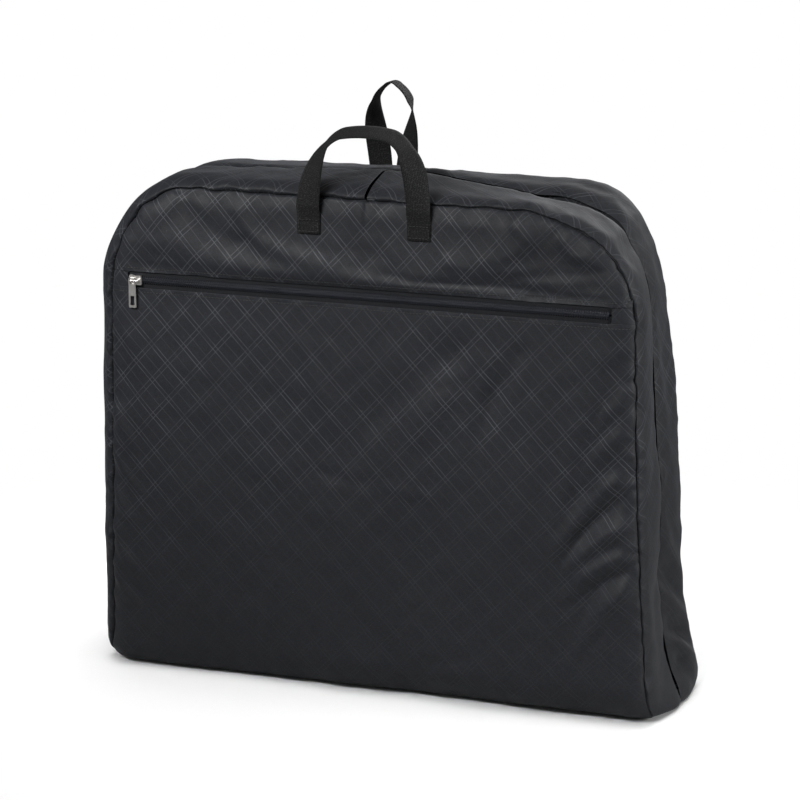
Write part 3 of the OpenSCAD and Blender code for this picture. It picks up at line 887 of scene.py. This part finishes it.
def smoothNormals(points, quads):
    ring = points[quads]
    each = np.cross(ring[:, 2] - ring[:, 0], ring[:, 3] - ring[:, 1])
    normal = np.zeros_like(points)
    for k in range(4):
        np.add.at(normal, quads[:, k], each)
    return normal / np.maximum(np.linalg.norm(normal, axis=1, keepdims=True), 1e-12)


def puckers(way, away, seed, pitch, height, shortest, longest):
    # small gathers that start at a seam and die out over the cloth
    total = np.zeros_like(way)
    near = np.nonzero(away < 2.2 * longest)[0]
    if len(near) == 0:
        return total
    dice = np.random.default_rng(seed)
    u, d = way[near], away[near]
    place, last = u.min(), u.max()
    sums = np.zeros_like(u)
    while place < last:
        place += pitch * dice.uniform(0.55, 1.5)
        wide = pitch * dice.uniform(0.26, 0.46)
        reach = dice.uniform(shortest, longest)
        slant = dice.uniform(-0.45, 0.45)
        tall = height * dice.uniform(0.4, 1.25) * (1 if dice.uniform() < 0.7 else -0.7)
        sums += tall * bell(u - place - slant * d, wide * (1 + d / reach)) * bell(d, reach)
    total[near] = sums * np.clip(d / 0.004, 0, 1)
    return total


def gathered(points, flat, quads, cloth, isFront):
    # sewn-in puckers on the finer mesh, along the seams, the rim, the zip and the fold
    x, w, z = flat.T
    inner = np.maximum(insideDistance(x, z), 0)
    way, nx, nz, _ = seamPlace(x, z)
    signed = np.where(x < 0, way, 2.0 - way)
    onFace = w > bag["seam"] - 0.0005
    faceQuads = flat[quads][:, :, 1].mean(1) > bag["seam"] - 0.001
    seed = cloth["seed"] * 10
    calm = quietPlaces(x, z, isFront)
    high = np.clip((z - 0.02) / 0.02, 0, 1)
    fromEdge, fromBase = np.where(onFace, inner, 1), np.where(onFace, np.maximum(z - 0.008, 0), 1)
    move = puckers(signed, fromEdge, seed, *gathers["panelFine"])
    move += puckers(signed, fromEdge, seed + 1, *gathers["panelBroad"])
    move += puckers(x, fromBase, seed + 2, *gathers["base"])
    wave = waveField(cloth["seed"] + 3, 26, 0.055, 0.022)
    move += np.where(onFace, 0.00035 * wave(x, z), 0) * np.minimum(inner / 0.02, 1)
    move *= 0.25 + 0.75 * calm
    if isFront:
        slotAway = np.where(onFace, np.maximum(np.abs(z - bag["zipZ"]) - bag["zipSlot"] / 2, 0), 1)
        move += puckers(np.where(z > bag["zipZ"], x, x + 2), slotAway, seed + 3, *gathers["zip"])
    normal = smoothNormals(points, quads[faceQuads])
    points = points + normal * np.where(onFace, move, 0)[:, None]
    strip = np.where(onFace, 1, bag["seam"] - w)
    side = puckers(signed, strip, seed + 4, *gathers["stripFine"])
    side += puckers(signed, np.where(onFace, 1, w - rimCut), seed + 5, *gathers["rim"])
    side += puckers(signed, strip, seed + 6, *gathers["stripBroad"])
    normal = smoothNormals(points, quads[~faceQuads])
    points = points + normal * np.where(onFace, 0, side * high)[:, None]
    # the seam itself: a narrow groove that wanders a little, with the gusset rolled over it
    toSeam = np.where(onFace, inner, bag["seam"] - w)
    sewn = np.clip((z - 0.006) / 0.012, 0, 1)
    wander = waveField(cloth["seed"] + 5, 18, 0.045, 0.014)
    uneven = waveField(cloth["seed"] + 7, 22, 0.040, 0.009)
    stray = groove["stray"] * wander(signed, signed * 0) * bell(toSeam, 0.005) * sewn
    sink = groove["sink"] * bell(toSeam, groove["sinkHalf"]) * sewn
    roll = cloth["roll"] * np.clip(1 + 0.45 * uneven(signed, signed * 0), 0.3, 1.8) * sewn
    roll *= np.where(onFace, 0, bell(toSeam - groove["rollAt"], groove["rollHalf"]))
    tuck = np.where(onFace, groove["tuck"] * bell(toSeam, 0.004), 0) * sewn
    inward = stray - 0.6 * sink - 0.45 * roll
    points[:, 0] += nx * inward
    points[:, 2] = np.maximum(points[:, 2] + nz * inward, 0)
    points[:, 1] += roll - 0.8 * sink - tuck
    return points


def turnedUnder(obj, picked, steps):
    # folds the picked open edge under itself, step by step
    grid = bmesh.new()
    grid.from_mesh(obj.data)
    edges = [e for e in grid.edges if e.is_boundary and all(picked[v.index] for v in e.verts)]
    for step in steps:
        made = bmesh.ops.extrude_edge_only(grid, edges=edges)["geom"]
        fresh = {g for g in made if isinstance(g, bmesh.types.BMVert)}
        for v in fresh:
            v.co += Vector(step)
        edges = [g for g in made if isinstance(g, bmesh.types.BMEdge) and fresh.issuperset(g.verts)]
    for f in grid.faces:
        f.smooth = True
    grid.to_mesh(obj.data)
    grid.free()


def clothHalf(label, cloth, isFront):
    flat, faces = clothBlock(cloth, isFront)
    points = shapedHalf(flat, cloth, isFront)
    onFace = flat[:, 1] > bag["seam"] - 0.0005
    toSeam = np.where(onFace, insideDistance(flat[:, 0], flat[:, 2]), bag["seam"] - flat[:, 1])
    rim = flat[:, 1] - rimCut
    hems = np.full(len(flat), 1.0)
    if isFront:
        slotAway = np.abs(np.abs(flat[:, 2] - bag["zipZ"]) - bag["zipSlot"] / 2)
        hems = np.where(onFace, slotAway, 1.0)
        slitAway = np.abs(np.abs(flat[:, 0]) - bag["slit"] / 2)
        hems = np.minimum(hems, np.where(~onFace & (flat[:, 2] > bag["height"] - 0.02), slitAway, 1.0))
    fold = flat[:, 2] + np.where(flat[:, 2] > 0.004, 1, 0)
    held = np.clip(1.3 - np.minimum.reduce([np.abs(toSeam), rim, hems, fold]) / 0.003, 0, 1)
    slack = np.exp(-np.abs(toSeam) / 0.018) + 0.6 * np.exp(-np.abs(rim) / 0.014)
    slack *= np.clip((flat[:, 2] - 0.02) / 0.03, 0, 1)
    points = relaxedCloth(points, faces, held, np.clip(slack, 0, 1), cloth)
    points[:, 2] = np.maximum(points[:, 2], 0)
    points, quads = refined(points, faces, True)
    flat, quads = refined(flat, faces, False)
    points = gathered(points, flat, quads, cloth, isFront)
    regions = regionOf(flat[quads].mean(1), isFront)
    faceSide = flat[quads][:, :, 1].mean(1) > bag["seam"] - 0.001
    smoothFace = smoothNormals(points, quads[faceSide])
    smoothStrip = smoothNormals(points, quads[~faceSide])
    way = seamPlace(flat[:, 0], flat[:, 2])[0]
    faceMap = np.stack([flat[:, 0], flat[:, 2]], 1)
    stripMap = np.stack([flat[:, 1] + np.where(flat[:, 0] < 0, 0.31, 0.0), way], 1)
    flip = np.array([1, -1 if isFront else 1, 1])
    world = points * flip
    if isFront:
        quads = quads[:, ::-1]
    made = {}
    for region, (name, *_) in clothPieces[label].items():
        chosen = np.nonzero(regions == region)[0]
        used, rings = np.unique(quads[chosen], return_inverse=True)
        rings = rings.reshape(-1, 4)
        obj = meshObject(name, world[used], rings, finishes["figured"])
        isFace = np.repeat(faceSide[chosen], 4)[:, None]
        loops = quads[chosen].ravel()
        normals = np.where(isFace, smoothFace[loops], smoothStrip[loops]) * flip
        layer = obj.data.uv_layers.new(name="cloth")
        spots = np.where(isFace, faceMap[loops], stripMap[loops])
        layer.data.foreach_set("uv", spots.astype(np.float32).ravel())
        fx, fw, fz = flat[used].T
        if region in ("yoke", "pocket"):
            sign = 1 if region == "yoke" else -1
            edge = bag["zipZ"] + sign * bag["zipSlot"] / 2
            picked = np.abs(fz - edge) < 1e-4
            steps = [(0, 0.0004, -sign * 0.0005), (0, 0.0007, sign * 0.0003), (0, 0.0002, sign * 0.007)]
            turnedUnder(obj, picked, steps)
        if region.startswith("tab"):
            side = -1 if region == "tabLeft" else 1
            for point, x in zip(obj.data.vertices, fx):
                point.co.y += 0.0011 * min(1, (bag["halfWidth"] - abs(x)) / 0.004)
            for sign in (-1, 1):
                picked = np.abs(fz - bag["zipZ"] - sign * bag["zipSlot"] / 2) < 1e-4
                turnedUnder(obj, picked, [(0, 0.0001, sign * 0.004)])
                fx, fz = np.append(fx, np.zeros(picked.sum())), np.append(fz, np.zeros(picked.sum()))
            picked = np.abs(fx - side * bag["zipHalf"]) < 1e-4
            steps = [(-side * 0.0004, 0.0001, 0), (side * 0.0003, 0.0006, 0), (side * 0.004, 0.0001, 0)]
            turnedUnder(obj, picked, steps)
        if region.startswith("gusset") and isFront:
            side = -1 if region == "gussetLeft" else 1
            picked = (np.abs(fx - side * bag["slit"] / 2) < 1e-4) & (fz > bag["height"] - 0.02)
            steps = [(-side * 0.0004, 0, -0.0005), (side * 0.0003, 0, -0.0008), (side * 0.008, 0, -0.0002)]
            turnedUnder(obj, picked, steps)
        loose = np.zeros((len(obj.data.loops) - len(normals), 3))
        obj.data.normals_split_custom_set(np.concatenate([normals, loose]).tolist())
        made[region] = obj
    print(label, "cloth made,", len(quads), "faces")
    return made, BVHTree.FromPolygons(world.tolist(), quads.tolist())


clothPieces = {  # by half and place: piece, CAD node, flat width and length, flat area
    "front": {
        "yoke": ("yokeCloth", "yoke_panel", (0.60, 0.12), 0.053),
        "pocket": ("pocketCloth", "pocket_panel", (0.61, 0.42), 0.238),
        "tabLeft": ("zipTabLeft", "pocket_zip_tab_left", (0.030, 0.026), 0.00078),
        "tabRight": ("zipTabRight", "pocket_zip_tab_right", (0.030, 0.026), 0.00078),
        "gussetLeft": ("frontGussetLeft", "front_gusset_left", (0.074, 0.76), 0.055),
        "gussetRight": ("frontGussetRight", "front_gusset_right", (0.074, 0.76), 0.055),
        "fold": ("frontFoldCloth", "front_fold_panel", (0.70, 0.10), 0.069),
    },
    "rear": {
        "panel": ("rearCloth", "rear_panel", (0.61, 0.55), 0.30),
        "gussetLeft": ("rearGussetLeft", "rear_gusset_left", (0.074, 0.76), 0.055),
        "gussetRight": ("rearGussetRight", "rear_gusset_right", (0.074, 0.76), 0.055),
        "fold": ("rearFoldCloth", "rear_fold_panel", (0.70, 0.10), 0.069),
    },
}
frontMade, frontSkin = clothHalf("front", frontCloth, True)
rearMade, rearSkin = clothHalf("rear", rearCloth, False)
for half, made in (("front", frontMade), ("rear", rearMade)):
    for region, (_, node, cut, area) in clothPieces[half].items():
        obj = made[region]
        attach(obj, half + "_half")
        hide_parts(node)
        if region == "fold":
            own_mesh(obj)
print("cloth made")


def skinDepth(x, z, isFront):
    # y of the outer face of the cloth at a place seen from the front or the rear
    tree, start = (frontSkin, -0.4) if isFront else (rearSkin, 0.4)
    hit = tree.ray_cast(Vector((x, start, z)), Vector((0, -start, 0)))[0]
    return hit.y if hit else math.copysign(faceDepth, start)


# folded-in faces and the pocket's inner wall

innerFaces = {
    "sway": 0.0014,
    "step": 0.008,
    "seed": 31,
    "short": 0.002,  # how far a sheet stops short of the gusset
    "spare": 0.0008,  # how far its pattern runs past the outline
    "widest": 0.31,
    "lower": (0.29, 0.47),  # flat sizes
    "upper": (0.28, 0.05),
}
pocketBack = {"depth": 0.0665, "spare": -0.0012, "above": 0.024, "seed": 41, "flat": (0.60, 0.434)}


def flatSheet(name, body, finish, depth, spare, seed, zRange, xRange, slot=None):
    # a slack sheet across the bag, trimmed to its outline and held flat beside a zip's slot
    low, high = zRange
    step = innerFaces["step"]
    xs, zs = [np.arange(a, b + 1e-6, (b - a) / round((b - a) / step)) for a, b in (xRange, zRange)]
    wave = waveField(seed, 12, 0.25, 0.06)
    gx, gz = np.meshgrid(xs, zs)
    cx, shoulder = bag["halfWidth"] - bag["shoulder"], bag["shoulder"] + spare
    half = bag["halfWidth"] + spare + bag["splay"] * np.maximum(0, 1 - gz / roundZ)
    over = np.clip(gz - roundZ, 0, shoulder)
    half = np.where(gz > roundZ, cx + np.sqrt(np.maximum(shoulder**2 - over**2, 0)), half)
    gx = np.clip(gx, -half, half)
    edge = np.minimum(half - np.abs(gx), np.minimum(gz - low, high - gz))
    w = depth + innerFaces["sway"] * wave(gx, gz) * np.clip(edge / 0.04, 0, 1)
    if slot:
        w = depth + (w - depth) * np.clip(np.abs(np.abs(gx) - slot) / 0.03, 0, 1)
    sign = -1 if body == "front_half" else 1
    uvs = np.stack([gx, gz], -1).reshape(-1, 2)
    flat = np.stack([gx.ravel(), np.full(gx.size, depth), gz.ravel()], 1)
    shaped = shapedHalf(flat, frontCloth if sign < 0 else rearCloth, sign < 0) - flat
    near = np.clip(1 - np.maximum(insideDistance(flat[:, 0], flat[:, 2]), 0) / 0.06, 0, 1) ** 2
    atTop = np.clip((flat[:, 2] - roundZ) / 0.1, 0, 1)
    points = np.stack([gx, sign * w, gz], -1).reshape(-1, 3)
    points[:, 0] += near * (shaped[:, 0] - np.sign(flat[:, 0]) * innerFaces["short"])
    points[:, 2] += near * (shaped[:, 2] - atTop * innerFaces["short"])
    rows, cols = gx.shape
    faces = []
    for i in range(rows - 1):
        for j in range(cols - 1):
            a, d = i * cols + j, (i + 1) * cols + j
            ring = points[[a, a + 1, d + 1, d]]
            size = np.linalg.norm(np.cross(ring[2] - ring[0], ring[3] - ring[1])) / 2
            if size > 2e-7:  # squares that the trimming closed up are left out
                faces.append((a, a + 1, d + 1, d) if sign < 0 else (d, d + 1, a + 1, a))
    obj = meshObject(name, points, faces, finishes[finish], uvs)
    loose = bmesh.new()
    loose.from_mesh(obj.data)
    bmesh.ops.delete(loose, geom=[v for v in loose.verts if not v.link_faces], context="VERTS")
    loose.to_mesh(obj.data)
    loose.free()
    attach(obj, body)
    return obj


def innerFace(label, side, body, node):
    # below the slot's top a half sheet stops at the slot; above it the two halves meet
    slot, top, end = bag["zipSlot"] / 2, bag["mainZipTop"], side * innerFaces["widest"]
    shared = (body, "figured", bag["innerDepth"], innerFaces["spare"])
    seed = innerFaces["seed"] + side
    lower = flatSheet(label, *shared, seed, (bag["foldZ"], top), sorted((end, side * slot)), slot)
    upper = flatSheet(label + "Upper", *shared, seed + 5, (top, bag["height"]), sorted((end, side * 0.0001)))
    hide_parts(node)


for body, label in (("front_half", "front"), ("rear_half", "rear")):
    for side, word in ((-1, "left"), (1, "right")):
        innerFace(label + "Inner" + word.title(), side, body, f"{label}_inner_panel_{word}")
pocketWall = flatSheet(
    "pocketInnerWall",
    "front_half",
    "plain",
    pocketBack["depth"],
    pocketBack["spare"],
    pocketBack["seed"],
    (bag["foldZ"], bag["zipZ"] + pocketBack["above"]),
    (-innerFaces["widest"], innerFaces["widest"]),
)
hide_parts("pocket_inner_wall")
print("inner sheets made")


def tubeFaces(low, count, ring):
    # squares round a tube of several rings of points, from the first point's number
    faces = []
    for i in range(count - 1):
        for k in range(ring):
            a, b = low + i * ring + k, low + i * ring + (k + 1) % ring
            faces.append((a, b, b + ring, a + ring))
    return faces


# webbing handles

strap = {
    "width": 0.025,
    "thick": 0.0017,
    "sewn": 0.018,
    "sewnTop": 0.518,
    "clear": 0.0002,  # between the strap and the cloth
    "steps": 110,
}
frontLoop = {
    "side": -1,
    "shift": 0.0,
    "span": 0.118,
    "wide": 0.105,
    "rise": 0.087,
    "lean": 0.014,
    "turn": 69,  # how far the strap turns edge on at the top
    "peak": -0.45,  # round below zero, pointed above it
}
rearLoop = {
    "side": 1,
    "shift": -0.021,
    "span": 0.028,
    "wide": 0.120,
    "rise": 0.117,
    "lean": 0.004,
    "turn": 88,
    "peak": 0.6,
}


def loopPoint(share, loop):
    turn = math.pi * share
    rise = max(math.sin(turn), 0.0) ** 0.8
    half = (loop["span"] + (loop["wide"] - loop["span"]) * math.sin(turn) ** 2) / 2
    across = -math.cos(turn) * half * max(0.265, abs(math.cos(turn))) ** loop["peak"]
    away = faceDepth + 0.0004 + 0.0008
    up = strap["sewnTop"] + 0.0004 + loop["rise"] * rise
    return Vector((across, -away + loop["lean"] * rise**1.6, up))


def strapStations(loop):
    # middle, edge and face directions from the left end over the top to the right end
    stations = []
    isFront = loop["side"] < 0
    ends = [strap["sewnTop"] - strap["sewn"] * (1 - k / 10) for k in range(11)]
    half = loop["span"] / 2
    lift = strap["clear"] + strap["thick"] / 2
    for place, heights, run in ((-half, ends, 1), (half, ends[::-1], -1)):
        row = []
        for z in heights:
            skin = max(abs(skinDepth(loop["shift"] + place + k * 0.009, z, isFront)) for k in (-1, 0, 1))
            row.append((Vector((place, -max(skin + lift, 0), z)), Vector((run, 0, 0)), Vector((0, -1, 0))))
        stations.append(row)
    middle = []
    count = strap["steps"]
    for k in range(2, count - 1):
        share = k / count
        ahead, behind = loopPoint(min(1, share + 0.004), loop), loopPoint(max(0, share - 0.004), loop)
        run = (ahead - behind).normalized()
        inward = Vector((run.z, 0, -run.x)).normalized()
        bend = math.radians(loop["turn"]) * min(1, 1.25 * math.sin(math.pi * share)) ** 1.5
        edge = inward * math.cos(bend) + Vector((0, -1, 0)) * math.sin(bend)
        edge = (edge - run * edge.dot(run)).normalized()
        middle.append((loopPoint(share, loop), edge, edge.cross(run)))
    return stations[0] + middle + stations[1]


def strapMesh(name, loop):
    stations = strapStations(loop)
    side = np.linspace(-1, 1, 9)
    section = [(u, 1 - 0.75 * abs(u) ** 7) for u in side]  # thinner at the woven edges
    section += [(u, -v) for u, v in section[::-1]]
    ring = len(section)
    points, uvs, along = [], [], 0.0
    for i, (middle, edge, face) in enumerate(stations):
        if i:
            along += (middle - stations[i - 1][0]).length
        for u, v in section:
            spot = middle + edge * u * strap["width"] / 2 + face * v * strap["thick"] / 2
            points.append(Vector((spot.x + loop["shift"], -loop["side"] * spot.y, spot.z)))
            uvs.append((u * strap["width"] / 2 + (0.1 if v < 0 else 0), along))
    faces = tubeFaces(0, len(stations), ring)
    faces += [tuple(range(ring))[::-1], tuple(range(len(points) - ring, len(points)))]
    if loop["side"] < 0:
        faces = [f[::-1] for f in faces]
    obj = meshObject(name, points, faces, finishes["webbing"], uvs)
    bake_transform(obj)
    return obj


frontStrap = strapMesh("frontHandleWebbing", frontLoop)
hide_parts("front_handle", "front_handle_end_left", "front_handle_end_right")
rearStrap = strapMesh("rearHandleWebbing", rearLoop)
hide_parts("rear_handle", "rear_handle_end_left", "rear_handle_end_right")
print("handles made")


# zips: tapes, coils and the metal

zipSizes = {
    "pitch": 0.0025,
    "tapeWidth": 0.013,
    "tapeThick": 0.00064,
    "gap": 0.002,
    "pocketDepth": 0.0793,
    "pocketCoilStart": -0.2552,
    "pocketCoil": 0.515,
    "mainTape": 0.4757,
    "mainCoil": {"front": 0.4629, "rear": 0.4677},
    "mainLift": 0.0015,  # from the folded-in face to the tape
    "firstTurn": (0.0004, 0.00165),  # the two rows of teeth lie half a pitch apart
    "softEdge": 0.00028,
}
coilTurn = [  # a turn of the spiral: from the middle outward, and out of the tape
    (0.0034, -0.0002),
    (0.0035, -0.0011),
    (0.0029, -0.0019),
    (0.0014, -0.0022),
    (-0.0001, -0.0021),
    (-0.0008, -0.0016),
    (-0.0009, -0.0011),
    (-0.0004, -0.0008),
    (0.0012, -0.0008),
    (0.0030, -0.0007),
]


def zipTape(name, length, put, node, body):
    # a woven strip with a thicker bead along its inner edge
    columns = [0.0, 0.0012, 0.003, 0.006, 0.009, 0.0122, zipSizes["tapeWidth"]]
    rows = int(length / 0.006) + 1
    wave = waveField(len(name), 6, 0.2, 0.06)
    points, uvs, faces = [], [], []
    for i in range(rows + 1):
        x = length * i / rows
        for c in columns:
            lift = 0.00025 if c < 0.002 else 0.0
            sag = 0.0002 * float(wave(np.array([x]), np.array([c]))[0])
            points.append(put(x, -lift + sag + 0.0001, zipSizes["gap"] / 2 + c))
            uvs.append((c, x))
    wide = len(columns)
    for i in range(rows):
        for k in range(wide - 1):
            a = i * wide + k
            faces.append((a, a + 1, a + 1 + wide, a + wide))
    obj = meshObject(name, points, faces, finishes["tape"], uvs)
    solid = obj.modifiers.new("weave", "SOLIDIFY")
    solid.thickness = zipSizes["tapeThick"]
    solid.offset = 0.0
    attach(obj, body)
    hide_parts(node)


def zipCoil(name, length, start, put, node, body):
    # one nylon spiral: each turn rises from the tape, crosses the middle and comes back below
    turns = int((length - start - 0.001) / zipSizes["pitch"])
    last = len(coilTurn) - 1
    sides, points, faces = 6, [], []
    for n in range(turns):
        faces += tubeFaces(len(points), len(coilTurn), sides)
        for i, (z, y) in enumerate(coilTurn):
            x = start + (n + 0.2 + 0.24 * i / last * 2) * zipSizes["pitch"]
            ahead, behind = coilTurn[min(i + 1, last)], coilTurn[max(i - 1, 0)]
            dz, dy = ahead[0] - behind[0], ahead[1] - behind[1]
            size = math.hypot(dz, dy)
            radius = 0.00046 if 3 <= i <= 6 else 0.00038  # thicker at the tooth's head
            for s in range(sides):
                a = 2 * math.pi * s / sides
                out = radius * math.sin(a)
                along = x + radius * 1.15 * math.cos(a)
                points.append(put(along, y + out * dz / size, z - out * dy / size))
    obj = meshObject(name, points, faces, finishes["coil"])
    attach(obj, body)
    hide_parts(node)


def pocketPut(x0, side):
    return lambda x, y, z: (x0 + x, -zipSizes["pocketDepth"] + y, bag["zipZ"] + side * z)


def innerPut(side, half):
    depth = bag["innerDepth"] + zipSizes["mainLift"]
    return lambda x, y, z: (side * z, half * (depth + y), bag["foldZ"] + x)


for side, word, first in zip((1, -1), ("upper", "lower"), zipSizes["firstTurn"]):
    put = pocketPut(-bag["zipHalf"], side)
    zipTape("pocketTape" + word.title(), 2 * bag["zipHalf"], put, "pocket_zip_tape_" + word, "front_half")
    put = pocketPut(zipSizes["pocketCoilStart"], side)
    length = zipSizes["pocketCoil"]
    zipCoil("pocketCoil" + word.title(), length, first, put, "pocket_zip_coil_" + word, "front_half")
for half, label in ((-1, "front"), (1, "rear")):
    for side, word, first in zip((1, -1), ("right", "left"), zipSizes["firstTurn"]):
        put, body, end = innerPut(side, half), label + "_half", f"{label}_{word}"
        zipTape(f"{label}MainTape{word.title()}", zipSizes["mainTape"], put, "main_zip_tape_" + end, body)
        length = zipSizes["mainCoil"][label]
        zipCoil(f"{label}MainCoil{word.title()}", length, first, put, "main_zip_coil_" + end, body)
for name in ("pocket_slider", "pocket_pull", "main_slider", "main_pull"):
    metal = cadNodes[name]
    metal.data.materials.clear()
    metal.data.materials.append(finishes["nickel"])
    bevel = metal.modifiers.new("softEdges", "BEVEL")
    bevel.width = zipSizes["softEdge"]
    bevel.segments = 2
    bevel.limit_method = "ANGLE"
print("zips made")


# stitching

thread = {"long": 0.0027, "gap": 0.0008, "thick": 0.00034, "sides": 6}
stitchShape = [  # share of the length, thickness, and height over the cloth
    (0.0, 0.25, -0.6),
    (0.18, 0.9, 0.2),
    (0.5, 1.0, 0.55),
    (0.82, 0.9, 0.2),
    (1.0, 0.25, -0.6),
]
stitchPlaces = {
    "besideZip": 0.0038,
    "besideSlit": 0.0105,
    "boxHalf": 0.0105,
    "boxLow": 0.0025,
    "boxHigh": 0.0035,
}


def stitchRows(name, rows, body):
    # small sunk stitches along rows of points; each row is points and an outward direction
    points, faces = [], []
    sides, thick = thread["sides"], thread["thick"]
    for row, outward in rows:
        out = Vector(outward).normalized()
        lengths = [0.0]
        for a, b in zip(row, row[1:]):
            lengths.append(lengths[-1] + (Vector(b) - Vector(a)).length)
        spots = np.array(row, float)

        def at(d):
            return Vector([float(np.interp(d, lengths, spots[:, k])) for k in range(3)])

        place = 0.0
        while place + thread["long"] <= lengths[-1] + 1e-6:
            a, b = at(place), at(place + thread["long"])
            run = (b - a).normalized()
            wide = out.cross(run).normalized()
            faces += tubeFaces(len(points), len(stitchShape), sides)
            for t, size, lift in stitchShape:
                middle = a.lerp(b, t) + out * lift * thick
                for s in range(sides):
                    angle = 2 * math.pi * s / sides
                    points.append(middle + (wide * math.cos(angle) + out * math.sin(angle)) * size * thick)
            place += thread["long"] + thread["gap"]
    obj = meshObject(name, points, faces, finishes["thread"])
    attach(obj, body)


zipRows = []
for side in (-1, 1):
    z = bag["zipZ"] + side * (bag["zipSlot"] / 2 + stitchPlaces["besideZip"])
    xs = np.arange(-bag["halfWidth"] + 0.004, bag["halfWidth"] - 0.004, 0.004)
    zipRows.append(([(x, skinDepth(x, z, True) - 0.0001, z) for x in xs], (0, -1, 0)))
stitchRows("zipTopStitch", zipRows, "front_half")
slitRows = []
for side in (-1, 1):
    row = []
    for y in np.arange(-0.066, -0.008, 0.003):
        above = Vector((side * stitchPlaces["besideSlit"], y, 0.7))
        hit = frontSkin.ray_cast(above, Vector((0, 0, -1)))[0]
        if hit:
            row.append((hit.x, hit.y, hit.z + 0.0001))
    slitRows.append((row, (0, 0, 1)))
stitchRows("slitStitch", slitRows, "front_half")
for loop, label, body in ((frontLoop, "front", "front_half"), (rearLoop, "rear", "rear_half")):
    boxRows = []
    low = strap["sewnTop"] - strap["sewn"] + stitchPlaces["boxLow"]
    high = strap["sewnTop"] - stitchPlaces["boxHigh"]
    for place in (-loop["span"] / 2, loop["span"] / 2):
        middle = loop["shift"] + place
        spots = [(middle + k * 0.009, z) for k in (-1, 0, 1) for z in (0.502, 0.509, 0.516)]
        skin = max(abs(skinDepth(x, z, loop["side"] < 0)) for x, z in spots)
        y = loop["side"] * (skin + strap["clear"] + strap["thick"])
        left, right = middle - stitchPlaces["boxHalf"], middle + stitchPlaces["boxHalf"]
        corners = [(left, y, low), (right, y, low), (right, y, high), (left, y, high), (left, y, low)]
        boxRows += [([a, b], (0, loop["side"], 0)) for a, b in zip(corners, corners[1:])]
    stitchRows(label + "HandleStitch", boxRows, body)
print("stitches made")


# stage, light and camera

view = {
    "azimuth": 18.4,
    "elevation": 15.7,
    "distance": 2.562,
    "target": (0.0129, 0.0, 0.3087),
    "focal": 2411.7,  # in pixels of a picture 800 wide
    "sensor": 36.0,
}
stage = {
    "half": 6.0,
    "fade": (0.36, 0.85),  # distances between which the floor runs out into the white backdrop
    "floor": (0.88, 0.88, 0.88, 1),
    "bounce": (0.30, 0.30, 0.30, 1),  # little light comes back up from the floor
    "ambient": 0.11,
}
lamps = {  # place, aim, size, power and spread in degrees
    "keyLight": ((-0.5, -1.25, 1.35), (0, 0, 0.29), (1.5, 0.3), 3.2, 42),  # falls off towards the base
    "sideLight": ((2.4, 0.0, 0.9), (0.28, 0, 0.48), (0.7, 0.7), 3.2, 50),
    "topLight": ((0.6, 0.7, 2.1), (0.1, 0, 0.4), (1.6, 1.0), 5, 180),
    "backLight": ((0.5, 2.4, 1.3), (0, 0, 0.25), (1.4, 1.0), 16, 180),
    "floorLight": ((0, 0, 2.6), (0, 0, 0), (2.8, 2.8), 80, 180),
}


def aimed(direction):
    return direction.to_track_quat("-Z", "Y").to_euler()


def makeCamera():
    data = bpy.data.cameras.new("camera")
    camera = bpy.data.objects.new("camera", data)
    scene.collection.objects.link(camera)
    a, e = math.radians(view["azimuth"]), math.radians(view["elevation"])
    back = Vector((math.sin(a) * math.cos(e), -math.cos(a) * math.cos(e), math.sin(e)))
    camera.location = Vector(view["target"]) + back * view["distance"]
    camera.rotation_euler = aimed(-back)
    data.sensor_width = view["sensor"]
    data.sensor_fit = "HORIZONTAL"
    data.lens = view["focal"] * view["sensor"] / 800.0
    data.clip_end = 50.0
    scene.camera = camera


def makeFloor():
    half = stage["half"]
    corners = [(-half, -half, 0), (half, -half, 0), (half, half, 0), (-half, half, 0)]
    material, tree, shader = newMaterial("paleFloor", {"Roughness": 0.9})
    far = addNode(tree, "ShaderNodeVectorMath", {0: objectPlace(tree)}, operation="LENGTH")
    feed(shader, "Alpha", smoothStep(tree, far.outputs["Value"], *stage["fade"], 1.0, 0.0))
    seen = addNode(tree, "ShaderNodeLightPath").outputs["Is Camera Ray"]
    feed(shader, "Base Color", mixColors(tree, seen, stage["bounce"], stage["floor"]))
    floor = meshObject("floor", corners, [(0, 1, 2, 3)], material, smooth=False)
    return floor


def makeWorld():
    # white to the camera, dim to everything else
    world = bpy.data.worlds.new("studio")
    world.use_nodes = True
    tree = world.node_tree
    tree.nodes.clear()
    mix = addNode(tree, "ShaderNodeMixShader")
    feed(mix, 0, addNode(tree, "ShaderNodeLightPath").outputs["Is Camera Ray"])
    for slot, strength in ((1, stage["ambient"]), (2, 1.0)):
        feed(mix, slot, addNode(tree, "ShaderNodeBackground", {0: (1, 1, 1, 1), 1: strength}).outputs[0])
    addNode(tree, "ShaderNodeOutputWorld", {0: mix.outputs[0]})
    scene.world = world


def makeLamps(floor):
    for name, (place, aim, size, power, spread) in lamps.items():
        data = bpy.data.lights.new(name, "AREA")
        data.shape = "RECTANGLE"
        data.size, data.size_y = size
        data.energy = power
        data.spread = math.radians(spread)
        lamp = bpy.data.objects.new(name, data)
        lamp.location = place
        lamp.rotation_euler = aimed(Vector(aim) - Vector(place))
        scene.collection.objects.link(lamp)
        if name == "floorLight":  # keeps the floor pale without lighting the bag
            onFloor = bpy.data.collections.new("floorOnly")
            onFloor.objects.link(floor)
            lamp.light_linking.receiver_collection = onFloor


makeCamera()
makeWorld()
makeLamps(makeFloor())
scene.view_settings.view_transform = "Standard"
print("stage made")
